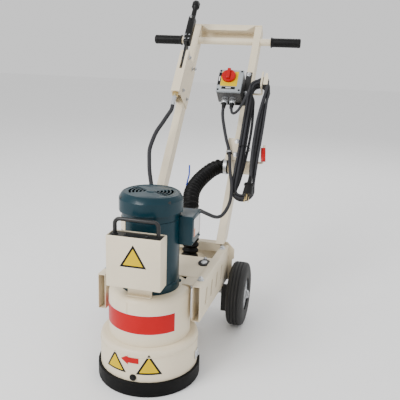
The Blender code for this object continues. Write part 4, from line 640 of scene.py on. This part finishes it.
def build_hose():
    """Ribbed dust hose with its clamps and the tail of a nylon tie."""
    pitch = bpy.context.scene.grinder_cords.hose_pitch
    end = at_head(0.0960, 0.6317, 0.5065)
    route = [end, end - Vector((0.0150, 0.0, 0.0)), end - Vector((0.0280, 0.0, 0.0))]
    route += [at_head(*point) for point in (
        (0.0560, 0.6230, 0.5040), (0.0400, 0.5980, 0.4975), (0.0270, 0.5640, 0.4880),
        (0.0155, 0.5180, 0.4760),
        (0.0095, 0.4700, 0.4640), (0.0093, 0.4250, 0.4523), (0.0148, 0.3850, 0.4400),
        (0.0239, 0.3500, 0.4200),
        (0.0330, 0.3240, 0.3850), (0.0380, 0.3080, 0.3400), (0.0390, 0.3030, 0.2850),
        (0.0340, 0.2960, 0.2250),
        (0.0220, 0.2780, 0.1650), (0.0090, 0.2500, 0.1180), (0.0, 0.2150, 0.0900), (0.0, 0.1880, 0.0900),
        (0.0, 0.1450, 0.0900))]
    path = smooth_route(route, 0.004)
    along = [0.0]
    for a, b in zip(path, path[1:]):
        along.append(along[-1] + (b - a).length)
    samples = []
    radii = []
    total = along[-1]
    count = int(total / (pitch / 10.0))
    segment = 0
    for i in range(count + 1):
        want = total * i / count
        while segment < len(along) - 2 and along[segment + 1] < want:
            segment += 1
        share = (want - along[segment]) / max(1e-9, along[segment + 1] - along[segment])
        samples.append(path[segment].lerp(path[segment + 1], share))
        cuff = want < 0.016 or want > total - 0.028
        wave = 0.5 + 0.5 * math.cos(math.tau * want / pitch)
        radii.append(0.0282 if cuff else 0.0218 + 0.0069 * wave ** 0.8)
    hose = add_piece("dust_hose_ribbed", tube_bm(samples, radii, 28), "hose", smooth=60.0)
    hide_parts("dust_hose")
    clamps = bmesh.new()
    for centre, direction in ((samples[0] - Vector((0.011, 0.0, 0.0)), (1.0, 0.0, 0.0)),
                              (at_head(0.0, 0.163, 0.090), (0.0, 1.0, 0.0))):
        absorb(clamps, moved(band(0.0284, 0.0296, 0.0060, 48), aim(centre, direction)))
        side = aim(centre, direction) @ Matrix.Translation((0.0, 0.0325, 0.0))
        block(clamps, (0.0150, 0.0075, 0.0110), side, 0.0012)
        disc(clamps, 0.0040, 0.0240, side @ Matrix.Translation((-0.0130, 0.0, 0.0)) @ Matrix.Rotation(
            math.radians(90.0), 4, "Y"), 6, bevel=0.0006)
    add_piece("hose_clamps", clamps, "zinc")
    start = at_head(-0.0090, 0.4080, 0.4760)
    tie = smooth_route([start + Vector(step) for step in (
        (0.0, 0.0, 0.0), (0.0060, -0.0060, 0.0200), (0.0110, -0.0080, 0.0400), (0.0115, -0.0080, 0.0740))],
        0.006)
    add_piece("nylon_tie_tail", tube_bm(tie, [0.0026] * len(tie), 8), "blue")


# ------------------------------------------------------------------ head and motor
def wrapped_patch(corners, radius, thickness, across=28, up=10):
    """Thin label wrapped on the head, from two opposite corners or three: (degrees, height)."""
    angles = [angle for angle, _ in corners]
    heights = [height for _, height in corners]
    bm = bmesh.new()
    bmesh.ops.create_grid(bm, x_segments=across, y_segments=up, size=0.5)
    span = (max(angles) - min(angles), max(heights) - min(heights))
    middle = ((max(angles) + min(angles)) / 2.0, (max(heights) + min(heights)) / 2.0)
    bmesh.ops.scale(bm, vec=(span[0], span[1], 1.0), verts=bm.verts)
    bmesh.ops.translate(bm, vec=(middle[0], middle[1], 0.0), verts=bm.verts)
    if len(corners) == 3:
        centre = Vector((sum(angles) / 3.0, sum(heights) / 3.0, 0.0))
        for i, corner in enumerate(corners):
            following = corners[(i + 1) % 3]
            start = Vector((*corner, 0.0))
            run = Vector((*following, 0.0)) - start
            outward = Vector((run.y, -run.x, 0.0))
            if outward.dot(centre - start) > 0.0:
                outward.negate()
            bmesh.ops.bisect_plane(bm, geom=bm.verts[:] + bm.edges[:] + bm.faces[:], dist=1e-6,
                                   plane_co=start,
                                   plane_no=outward, clear_outer=True)
    for vert in bm.verts:
        angle = math.radians(vert.co.x)
        vert.co = HEAD + Vector((radius * math.cos(angle), radius * math.sin(angle), vert.co.y))
    for face in bm.faces:
        face.normal_update()
        outward = face.calc_center_median() - HEAD
        if face.normal.dot(Vector((outward.x, outward.y, 0.0))) < 0.0:
            face.normal_flip()
    grown = bmesh.ops.extrude_face_region(bm, geom=bm.faces[:])
    for vert in (item for item in grown["geom"] if isinstance(item, bmesh.types.BMVert)):
        away = Vector((vert.co.x - HEAD.x, vert.co.y - HEAD.y, 0.0)).normalized()
        vert.co += away * thickness
    return bm


def build_head():
    dress("rubber_skirt", "skirt", 0.0008)
    dress("lower_shroud", "cream", 0.0006)
    dress("drum_housing", "cream", 0.0006)
    paint_nodes("iron", "bearing_housing", "grinding_shoe_1", "grinding_shoe_2", "grinding_shoe_3")
    paint_nodes("steel", "spindle_bearing", "spindle", "drive_coupling", "disc_plate")
    seam_angle, low, high = -103.8, 0.233, 0.262
    seam_place = aim(round_head(0.1193, seam_angle, (low + high) / 2.0), (0.0, 0.0, 1.0),
                     math.radians(seam_angle))
    plates("drum_seam", "cream", [((0.0016, 0.0028, high - low), seam_place)], 0.0006)
    lip = spun([(0.1432, 0.1180), (0.1440, 0.1190), (0.1440, 0.1200), (0.1432, 0.1210)], 96, closed=True)
    add_piece("shroud_bead", moved(lip, Matrix.Translation(HEAD)), "cream")
    plug = bmesh.new()
    plug_angle, radius = -89.65, 0.0098
    base = aim(round_head(0.1426, plug_angle, 0.056), outward(plug_angle))
    disc(plug, radius, 0.003, base, 32, bevel=0.0009)
    disc(plug, radius * 0.62, 0.0052, base, 24, bevel=0.0008)
    add_piece("shroud_plug", plug, "black_plastic")
    clips = bmesh.new()
    for angle in (0.4, 180.0):
        base = Matrix.Translation(round_head(0.1445, angle, 0.075)) @ Matrix.Rotation(math.radians(angle), 4,
                                                                                      "Z")
        block(clips, (0.004, 0.030, 0.024), base, 0.001)
        bolt(clips, round_head(0.1465, angle, 0.075), outward(angle), 0.008)
    add_piece("shroud_clips", clips, "zinc")
    for word, corners in (("left", [(-113.3, 0.1235), (-126.4, 0.067), (-98.1, 0.067)]),
                          ("right", [(-72.0, 0.1290), (-86.3, 0.0670), (-57.0, 0.0670)])):
        angle, height = (sum(values) / 3.0 for values in zip(*corners))
        inner = [(angle + (a - angle) * TRIANGLE_SHARE, height + (z - height) * TRIANGLE_SHARE) for a,
                 z in corners]
        add_piece(f"shroud_triangle_border_{word}", wrapped_patch(corners, SHROUD_SKIN, 0.0003),
                  "black_label")
        add_piece(f"shroud_triangle_{word}", wrapped_patch(inner, SHROUD_SKIN + 0.0001, 0.0005), "yellow")
    for part, corners in (("shaft", [(-96.4, 0.0995), (-83.4, 0.1160)]),
                          ("head", [(-104.6, 0.1078), (-95.8, 0.0935), (-95.8, 0.1221)])):
        add_piece(f"turning_arrow_{part}", wrapped_patch(corners, SHROUD_SKIN, 0.0004), "red_label")
    for part, corners, thickness, finish_name in (
            ("edge", [(-197.0, 0.1745), (-35.5, 0.2325)], 0.0003, "white_label"),
            ("band", [(-196.3, 0.176), (-36.2, 0.231)], 0.0006, "red_label")):
        add_piece(f"drum_label_{part}", wrapped_patch(corners, DRUM_SKIN, thickness, 96, 4), finish_name)


def build_motor():
    dress("motor_lower_bell", "teal", 0.0010)
    dress("motor_shell", "teal", 0.0006)
    dress("motor_upper_bell", "teal", 0.0008)
    dress("fan_cover", "teal", 0.0012, smooth=32.0)
    dress("junction_box", "teal", 0.0008)
    paint_nodes("steel", "motor_bearing", "motor_shaft")
    paint_nodes("iron", "rotor_core", "stator_core")
    paint_nodes("black_plastic", "cooling_fan")
    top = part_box("fan_cover")[1].z
    crown = bmesh.new()
    disc(crown, 0.0135, 0.0016, head_spot(0.0, 0.0, top - 0.0002), 36, bevel=0.0006)
    rim = spun([(0.0745, top - 0.0006), (0.0765, top - 0.0006), (0.0760, top + 0.0008),
                (0.0750, top + 0.0008)],
               72, closed=True)
    absorb(crown, moved(rim, Matrix.Translation(HEAD)))
    add_piece("fan_cover_crown", crown, "teal")
    bolts = bmesh.new()
    for angle in (15.0, 105.0, 195.0, 285.0):
        bolt(bolts, round_head(0.0838, angle, 0.288), outward(angle), 0.009, washer=False)
    add_piece("motor_bolts", bolts, "teal")
    screws = bmesh.new()
    for angle in (-38.0, -142.0, 38.0, 142.0):
        base = aim(round_head(0.0862, angle, top - 0.0125), outward(angle) + Vector((0.0, 0.0, 0.9)))
        disc(screws, 0.0056, 0.0020, base, 24, bevel=0.0005)
    add_piece("fan_cover_screws", screws, "black_paint")
    plates("junction_label", "white_label", [((0.0006, 0.062, 0.052), head_spot(0.1215, 0.047, 0.452))])
    plates("junction_label_stripe", "orange", [((0.0008, 0.012, 0.024), head_spot(0.1216, 0.0225, 0.4385))])
    cover = bmesh.new()
    block(cover, (0.0026, 0.084, 0.078), head_spot(0.1200, 0.045, 0.447), 0.001)
    for y, z in ((0.008, 0.413), (0.082, 0.413), (0.082, 0.481), (0.008, 0.481)):
        button_screw(cover, at_head(0.1210, y, z), (1.0, 0.0, 0.0), 0.003, 0.002)
    add_piece("junction_cover", cover, "teal")
    plate = wrapped_patch([(-172.0, 0.4500), (-128.0, 0.4830)], 0.0826, 0.0006)
    add_piece("motor_blank_plate", plate, "cream")


def build_weight():
    dress("weight_box", "cream", 0.0010)
    dress("weight_cover", "black_paint", 0.0005)
    dress("weight_handle", "black_paint")
    dress("weight_hanger", "cream", 0.0008)
    paint_nodes("iron", "weight_slab")
    low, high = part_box("weight_box")
    y = (low.y + high.y) / 2.0
    screws = bmesh.new()
    for x in (-0.0605, 0.0605):
        disc(screws, 0.0092, 0.0022, Matrix.Translation((x, y, high.z - 0.003)), 28, bevel=0.0006)
    for x in (-0.030, 0.030):
        button_screw(screws, (x, y, high.z - 0.003), (0.0, 0.0, 1.0), 0.0048, 0.003)
    add_piece("weight_cover_screws", screws, "black_paint", "weight")
    centre = Vector(((low.x + high.x) / 2.0, low.y, 0.401))
    corners = [Vector((x, 0.0, z)) for x, z in ((0.0, 0.0415), (-0.0370, -0.0210), (0.0370, -0.0210))]
    for part, share, thickness, finish_name in (("border", 1.0, 0.0004, "black_label"),
                                                ("plate", TRIANGLE_SHARE, 0.0007, "yellow")):
        bm = bmesh.new()
        face = bm.faces.new([bm.verts.new(centre + corner * share) for corner in corners])
        grown = bmesh.ops.extrude_face_region(bm, geom=[face])
        bmesh.ops.translate(bm, vec=(0.0, -thickness, 0.0),
                            verts=[item for item in grown["geom"] if isinstance(item, bmesh.types.BMVert)])
        add_piece(f"weight_triangle_{part}", bm, finish_name, "weight")


# ------------------------------------------------------------------ frame and wheels
def build_frame():
    rounding = bpy.context.scene.grinder_hardware.edge_round
    for node in ("side_channel_left", "side_channel_right", "deck_plate", "rear_cross_tube", "rear_plate",
                 "upright_left", "upright_right", "top_console", "lever_housing", "hose_plate"):
        dress(node, "cream", rounding, smooth=32.0)
    dress("handlebar", "cream")
    for node in ("axle_bracket_left", "axle_bracket_right", "switch_bracket"):
        dress(node, "black_paint", rounding)
    dress("axle", "steel", 0.0004)
    bolts = bmesh.new()
    for side in (-1.0, 1.0):
        x = side * 0.1428
        for y, z in ((0.030, 0.2935), (0.337, 0.2832)):
            bolt(bolts, at_head(x, y, z + 0.0002), (0.0, 0.034, 1.0), 0.0135)
        for y, z in ((0.352, 0.128), (0.352, 0.066)):
            bolt(bolts, at_head(side * 0.1676, y, z), (side, 0.0, 0.0), 0.009)
    for x in (-0.110, 0.110):
        bolt(bolts, at_head(x, 0.225, 0.2796), (0.0, 0.0, 1.0), 0.011)
        bolt(bolts, at_head(x, 0.3944, 0.2760), (0.0, 1.0, 0.0), 0.011)
    bolt(bolts, on_handle(0.1266, 0.0183, 0.395), AHEAD)
    bolt(bolts, on_handle(0.1282, 0.0183, 0.339), AHEAD)
    add_piece("frame_bolts", bolts, "zinc")
    plates("deck_front_corners", "cream",
           [((0.0390, 0.0580, 0.0026), head_spot(x, 0.0490, 0.2781)) for x in (-0.1095, 0.1095)], 0.0006)
    ring = bmesh.new()
    oval = head_spot(0.1130, 0.1960, 0.2797) @ Matrix.Scale(1.45, 4, (0.0, 1.0, 0.0))
    disc(ring, 0.0185, 0.0034, oval, 36, bevel=0.0008)
    add_piece("deck_grommet", ring, "black_plastic")
    insert = bmesh.new()
    disc(insert, 0.0095, 0.0046, oval, 32, bevel=0.0006)
    add_piece("deck_grommet_insert", insert, "zinc")
    clip = spun([(0.0064, -0.0060), (0.0098, -0.0060), (0.0104, -0.0045), (0.0104, 0.0045), (0.0098, 0.0060),
                 (0.0064, 0.0060)], 32, closed=True)
    held = aim(on_handle(0.1068, 0.0312, 0.338), HANDLE.to_3x3() @ Vector((0.20, 0.05, -0.95)))
    add_piece("lead_clip_cushion", moved(clip, held), "black_plastic")
    add_piece("lead_clip_strap", moved(band(0.0105, 0.0113, 0.0040, 32), held), "chrome")


def tyre_profile(half, grooves):
    """Cross-section of the tyre from its bead, round the tread and back."""
    points = [(0.0670, -half + 0.0065), (0.0560, -half + 0.0052), (0.0548, -half + 0.0032),
              (0.0600, -half + 0.0014), (0.0720, -half + 0.0008), (0.0800, -half), (0.0930, -half + 0.0004),
              (0.0975, -half + 0.0016), (0.1045, -half + 0.0042), (0.1085, -half + 0.0078),
              (0.1104, -half + 0.0116)]
    tread = 2.0 * (half - 0.013)
    width = 0.0036
    for index in range(grooves):
        middle = -tread / 2.0 + tread * (index + 0.5) / grooves
        crown = 0.1109 - 0.0004 * abs(middle) / half
        left, right, floor = middle - width / 2.0, middle + width / 2.0, crown - 0.0034
        points += [(crown, left - 0.0006), (floor, left + 0.0004), (floor, right - 0.0004),
                   (crown, right + 0.0006)]
    points += [(radius, -height) for radius, height in reversed(points[:10])]
    return points


def build_wheels():
    grooves = bpy.context.scene.grinder_hardware.groove_count
    for side, word in ((-1.0, "left"), (1.0, "right")):
        low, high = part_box(f"tyre_{word}")
        centre = (low + high) / 2.0
        half = (high.x - low.x) / 2.0
        place = Matrix.Translation(centre) @ Matrix.Rotation(math.radians(90.0 * side), 4, "Y")
        tyre = add_piece(f"tyre_{word}_tread", moved(spun(tyre_profile(half, grooves), 96, closed=True),
                                                     place),
                         "tyre", f"wheel_{word}", smooth=50.0)
        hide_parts(f"tyre_{word}")
        deep = half - 0.0072
        rim_profile = [(0.0084, -0.0260), (0.0165, -0.0260), (0.0172, -0.0250), (0.0172, -0.0060),
                       (0.0380, -0.0020), (0.0470, -0.0060), (0.0520, -deep + 0.0060),
                       (0.0545, -deep + 0.0010), (0.0657, -deep),
                       (0.0657, deep), (0.0545, deep - 0.0010), (0.0528, deep - 0.0020), (0.0490, 0.0175),
                       (0.0430, 0.0160), (0.0330, 0.0180), (0.0220, 0.0205), (0.0180, 0.0225),
                       (0.0172, 0.0265),
                       (0.0165, 0.0275), (0.0084, 0.0275)]
        rim = add_piece(f"rim_{word}_pressed", moved(spun(rim_profile, 72, closed=True), place), "rim",
                        f"wheel_{word}", smooth=40.0)
        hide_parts(f"rim_{word}")
        studs = bmesh.new()
        for index in range(4):
            turn = math.radians(45.0 + 90.0 * index)
            bolt(studs, place @ Vector((0.031 * math.cos(turn), 0.031 * math.sin(turn), 0.0182)),
                 (side, 0.0, 0.0), 0.0085, washer=False)
        add_piece(f"rim_{word}_bolts", studs, "zinc", f"wheel_{word}")
        ends = bmesh.new()
        outer = aim(centre + Vector((side * (half + 0.0006), 0.0, 0.0)), (side, 0.0, 0.0))
        disc(ends, 0.0150, 0.0018, outer, 32, bevel=0.0005)
        disc(ends, 0.0018, 0.0240, outer @ Matrix.Translation((0.0, -0.0120, 0.0045)) @ Matrix.Rotation(
            math.radians(-90.0), 4, "X"), 12)
        add_piece(f"axle_{word}_washer", ends, "zinc")


# ------------------------------------------------------------------ handle and lever
def build_handle():
    for side, word in ((-1.0, "left"), (1.0, "right")):
        profile = [(0.0146, 0.1880), (0.0205, 0.1880), (0.0215, 0.1890), (0.0215, 0.1915), (0.0205, 0.1925),
                   (0.0186, 0.1945)]
        start, end, ribs = 0.2000, 0.2960, 16
        for index in range(ribs):
            middle = start + (end - start) * (index + 0.5) / ribs
            profile += [(0.0186, middle - 0.0021), (0.0178, middle - 0.0016), (0.0178, middle + 0.0016),
                        (0.0186, middle + 0.0021)]
        profile += [(0.0186, 0.3030), (0.0178, 0.3060), (0.0150, 0.3078), (0.0, 0.3080), (0.0, 0.3024),
                    (0.0146, 0.3024)]
        bm = spun(profile, 40, closed=True)
        moved(bm, handle_spot(0.0, 0.0, 0.886) @ Matrix.Rotation(math.radians(90.0 * side), 4, "Y"))
        grip = add_piece(f"grip_{word}_ribbed", bm, "grip", smooth=50.0)
        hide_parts(f"grip_{word}")
    tip = handle_spot(0.2325, 0.0320, 0.3380) @ Matrix.Rotation(math.radians(-7.0), 4, "Y")
    plates("hook_cap_lower", "red", [((0.0170, 0.0110, 0.0540), tip)], 0.0015)
    plate = bmesh.new()
    for bottom, top, height, middle in ((0.0085, 0.0085, 0.030, 0.6400), (0.0085, 0.0030, 0.024, 0.6670)):
        made = bmesh.ops.create_cone(plate, cap_ends=True, segments=4, radius1=bottom * HALF_DIAGONAL,
                                     radius2=top * HALF_DIAGONAL, depth=height,
                                     matrix=Matrix.Rotation(math.radians(45.0), 4, "Z"))["verts"]
        bmesh.ops.scale(plate, vec=(1.0, 0.18, 1.0), verts=made)
        bmesh.ops.transform(plate, matrix=handle_spot(0.2030, 0.0660, middle), verts=made)
    add_piece("hook_plate_upper", plate, "cream")
    tie = band(0.0196, 0.0212, 0.0016, 36)
    bmesh.ops.scale(tie, vec=(1.05, 1.12, 1.0), verts=tie.verts)
    add_piece("hank_tie", moved(tie, handle_spot(0.1620, HANK_BACK + HANK_DEPTH * 0.62, 0.352)),
              "black_plastic")


def build_lever():
    dress("lever_arm", "black_plastic", 0.0010)
    dress("lever_pivot_pin", "zinc", 0.0004)
    dress("cable_rod", "zinc")
    dress("cable_fitting", "zinc", 0.0003)
    side = -UPRIGHT_X + 0.0170
    fittings = bmesh.new()
    for ahead, height, across in ((0.0645, 0.580, 0.010), (-0.0050, 0.587, 0.010), (0.0810, 0.727, 0.0115)):
        bolt(fittings, on_handle(side, ahead, height), ACROSS, across)
    pin = aim(on_handle(side, 0.0130, 0.7250), ACROSS)
    disc(fittings, 0.0078, 0.0016, pin, 24)
    disc(fittings, 0.0035, 0.010, pin, 16)
    ball = bmesh.ops.create_uvsphere(fittings, u_segments=20, v_segments=12, radius=0.0066)["verts"]
    bmesh.ops.transform(fittings, matrix=pin @ Matrix.Translation((0.0, 0.0, 0.0125)), verts=ball)
    add_piece("lever_housing_fittings", fittings, "chrome")
    nut = bmesh.new()
    disc(nut, 0.0122, 0.0125, handle_spot(-UPRIGHT_X, 0.092, 0.5345), 6, bevel=0.0008)
    add_piece("cable_nut", nut, "brass")
    screws = bmesh.new()
    pivot = Vector((-UPRIGHT_X, -0.081, 0.727))
    for x, height in ((-0.0075, 0.064), (0.0075, 0.064), (-0.0075, 0.084), (0.0075, 0.084)):
        button_screw(screws, HANDLE @ (pivot + Vector((x, -0.0380, height))), AHEAD, 0.0034, 0.0022)
    disc(screws, 0.0045, 0.014, aim(HANDLE @ (pivot + Vector((-0.0005, -0.0380, 0.168))), AHEAD), 20,
         bevel=0.0015)
    add_piece("lever_screws", screws, "chrome", "lift_lever")
    knob = bmesh.new()
    disc(knob, 0.0170, 0.0200, HANDLE @ Matrix.Translation(pivot + Vector((0.0, -0.022, 0.2440))), 8,
         bevel=0.0020)
    add_piece("lever_knob_facets", knob, "black_plastic", "lift_lever")


# ------------------------------------------------------------------ switch
def build_switch():
    dress("switch_box", "grey", 0.0008)
    dress("switch_lid", "light_grey", 0.0008)
    dress("switch_knob", "red", 0.0012)
    front = SWITCH_FACE + 0.0003
    plates("switch_yellow_plate", "yellow", [((0.0640, 0.0010, 0.068), handle_spot(0.0690, front, 0.6240))],
           0.0003)
    plates("switch_black_plates", "black_label",
           [((0.0105, 0.0010, 0.058), handle_spot(0.0305, front, 0.6230)),
            ((0.0520, 0.0010, 0.0105), handle_spot(0.0700, front, 0.5815))], 0.0003)
    plates("switch_plate_marks", "white_label",
           [((0.0040, 0.0012, 0.022), handle_spot(0.0305, front + 0.0003, 0.6230)),
            ((0.0200, 0.0012, 0.0034), handle_spot(0.0700, front + 0.0003, 0.5815))], 0.0002)
    screws = bmesh.new()
    for x in (0.0310, 0.1120):
        for height in (0.5730, 0.6600):
            button_screw(screws, on_handle(x, SWITCH_FACE, height), AHEAD, 0.0038, 0.0022)
    add_piece("switch_lid_screws", screws, "black_plastic")
    collar = spun([(0.0, 0.0), (0.0300, 0.0), (0.0300, 0.0012), (0.0285, 0.0020), (0.0, 0.0020)], 56)
    add_piece("switch_collar", moved(collar, aim(on_handle(0.0655, SWITCH_FACE + 0.0002, 0.632), AHEAD)),
              "yellow")
    glands = bmesh.new()
    for x in (LEAD_GLAND_X, MAINS_GLAND_X):
        disc(glands, 0.0125, 0.0070, handle_spot(x, GLAND_AHEAD, 0.5590), 6, bevel=0.0008)
        disc(glands, 0.0128, 0.0080, handle_spot(x, GLAND_AHEAD, 0.5450), 6, bevel=0.0008)
        disc(glands, 0.0100, 0.0040, handle_spot(x, GLAND_AHEAD, 0.5400), 28, top=0.0122)
    add_piece("gland_nuts", glands, "zinc")
    bolts = bmesh.new()
    for height in (0.706, 0.614):
        bolt(bolts, on_handle(0.1250, 0.0183, height), AHEAD, 0.0115)
    add_piece("switch_bracket_bolts", bolts, "zinc")


# ------------------------------------------------------------------ stage
def build_stage():
    """Pale floor, soft lights and the camera."""
    scene = bpy.context.scene
    bm = bmesh.new()
    bmesh.ops.create_grid(bm, x_segments=1, y_segments=1, size=14.0)
    bmesh.ops.translate(bm, vec=(0.0, 0.0, -0.0006), verts=bm.verts)
    mesh = bpy.data.meshes.new("floor")
    bm.to_mesh(mesh)
    bm.free()
    mesh.materials.append(surface("studio_floor", (0.93, 0.93, 0.93), (0.92, 0.92, 0.92), 0.85, grain=60.0,
                                  bump=0.0))
    floor = bpy.data.objects.new("floor", mesh)
    scene.collection.objects.link(floor)
    world = bpy.data.worlds.new("studio")
    world.use_nodes = True
    set_inputs(world.node_tree.nodes["Background"], Color=(1.0, 1.0, 1.0, 1.0), Strength=0.95)
    scene.world = world
    for name, place, size, power in (("key", (-1.6, -2.6, 2.9), 1.7, 125.0),
                                     ("fill", (2.6, -1.6, 1.8), 2.4, 10.0), ("back", (0.4, 2.6, 2.8), 2.2,
                                                                             40.0)):
        light = bpy.data.lights.new(name, "AREA")
        light.size = size
        light.energy = power
        lamp = bpy.data.objects.new(name, light)
        lamp.location = place
        lamp.rotation_euler = (Vector((0.0, 0.0, 0.45)) - Vector(place)).to_track_quat("-Z", "Y").to_euler()
        scene.collection.objects.link(lamp)
    yaw, pitch, roll = math.radians(13.51), math.radians(15.17), math.radians(1.93)
    back = Vector((math.sin(yaw) * math.cos(pitch), -math.cos(yaw) * math.cos(pitch), math.sin(pitch)))
    right = Vector((math.cos(yaw), math.sin(yaw), 0.0))
    up = back.cross(right)
    turned_right = right * math.cos(roll) + up * math.sin(roll)
    turned_up = up * math.cos(roll) - right * math.sin(roll)
    camera = bpy.data.cameras.new("camera")
    camera.lens = 50.27
    camera.sensor_width = 36.0
    eye = bpy.data.objects.new("camera", camera)
    eye.matrix_world = (Matrix.Translation(at_head(0.4822, -1.4251, 0.9381))
                        @ Matrix((turned_right, turned_up, back)).transposed().to_4x4())
    scene.collection.objects.link(eye)
    scene.camera = eye


# ------------------------------------------------------------------ operators
class BuildStep:
    """Runs an operator's build function"""

    def execute(self, context):
        self.build()
        return {"FINISHED"}


class GRINDER_OT_stage(BuildStep, bpy.types.Operator):
    """Set the floor, lights and camera"""
    bl_idname = "grinder.stage"
    bl_label = "Stage"
    build = staticmethod(build_stage)


class GRINDER_OT_cords(BuildStep, bpy.types.Operator):
    """Lay the mains cord with its plug, the motor lead and the control cable"""
    bl_idname = "grinder.cords"
    bl_label = "Cords and plug"
    build = staticmethod(build_cords)


class GRINDER_OT_hose(BuildStep, bpy.types.Operator):
    """Make the ribbed dust hose with its clamps"""
    bl_idname = "grinder.hose"
    bl_label = "Dust hose"
    build = staticmethod(build_hose)


class GRINDER_OT_head(BuildStep, bpy.types.Operator):
    """Finish the grinding head with its plain labels"""
    bl_idname = "grinder.head"
    bl_label = "Grinding head"
    build = staticmethod(build_head)


class GRINDER_OT_motor(BuildStep, bpy.types.Operator):
    """Finish the motor, its fan cover and its junction box"""
    bl_idname = "grinder.motor"
    bl_label = "Motor"
    build = staticmethod(build_motor)


class GRINDER_OT_weight(BuildStep, bpy.types.Operator):
    """Finish the lift-off weight box"""
    bl_idname = "grinder.weight"
    bl_label = "Weight box"
    build = staticmethod(build_weight)


class GRINDER_OT_frame(BuildStep, bpy.types.Operator):
    """Finish the frame, its brackets and its bolts"""
    bl_idname = "grinder.frame"
    bl_label = "Frame"
    build = staticmethod(build_frame)


class GRINDER_OT_wheels(BuildStep, bpy.types.Operator):
    """Make the grooved tyres and pressed rims"""
    bl_idname = "grinder.wheels"
    bl_label = "Wheels"
    build = staticmethod(build_wheels)


class GRINDER_OT_handle(BuildStep, bpy.types.Operator):
    """Make the ribbed grips, the hook ends and the cord ties"""
    bl_idname = "grinder.handle"
    bl_label = "Handle"
    build = staticmethod(build_handle)


class GRINDER_OT_lever(BuildStep, bpy.types.Operator):
    """Finish the lift lever and its housing's fittings"""
    bl_idname = "grinder.lever"
    bl_label = "Lift lever"
    build = staticmethod(build_lever)


class GRINDER_OT_switch(BuildStep, bpy.types.Operator):
    """Finish the switch box with its plates, screws and glands"""
    bl_idname = "grinder.switch"
    bl_label = "Switch box"
    build = staticmethod(build_switch)


OPERATORS = (GRINDER_OT_stage, GRINDER_OT_cords, GRINDER_OT_hose, GRINDER_OT_head, GRINDER_OT_motor,
             GRINDER_OT_weight, GRINDER_OT_frame, GRINDER_OT_wheels, GRINDER_OT_handle, GRINDER_OT_lever,
             GRINDER_OT_switch)


class GRINDER_PT_looks(bpy.types.Panel):
    """Lists the grinder's groups of pieces"""
    bl_idname = "GRINDER_PT_looks"
    bl_label = "Grinder"
    bl_space_type = "VIEW_3D"
    bl_region_type = "UI"
    bl_category = "Grinder"

    def draw(self, context):
        layout = self.layout
        for group in (context.scene.grinder_paints, context.scene.grinder_cords,
                      context.scene.grinder_hardware):
            for name in group.__annotations__:
                layout.prop(group, name)
        for operator in OPERATORS:
            layout.operator(operator.bl_idname)


CLASSES = (PaintSettings, CordSettings, HardwareSettings) + OPERATORS + (GRINDER_PT_looks,)


def register():
    for cls in CLASSES:
        bpy.utils.register_class(cls)
    bpy.types.Scene.grinder_paints = PointerProperty(type=PaintSettings)
    bpy.types.Scene.grinder_cords = PointerProperty(type=CordSettings)
    bpy.types.Scene.grinder_hardware = PointerProperty(type=HardwareSettings)


def unregister():
    del bpy.types.Scene.grinder_hardware
    del bpy.types.Scene.grinder_cords
    del bpy.types.Scene.grinder_paints
    for cls in reversed(CLASSES):
        bpy.utils.unregister_class(cls)


def main():
    register()
    for operator in OPERATORS:
        group, name = operator.bl_idname.split(".")
        getattr(getattr(bpy.ops, group), name)()


if __name__ == "__main__":
    main()
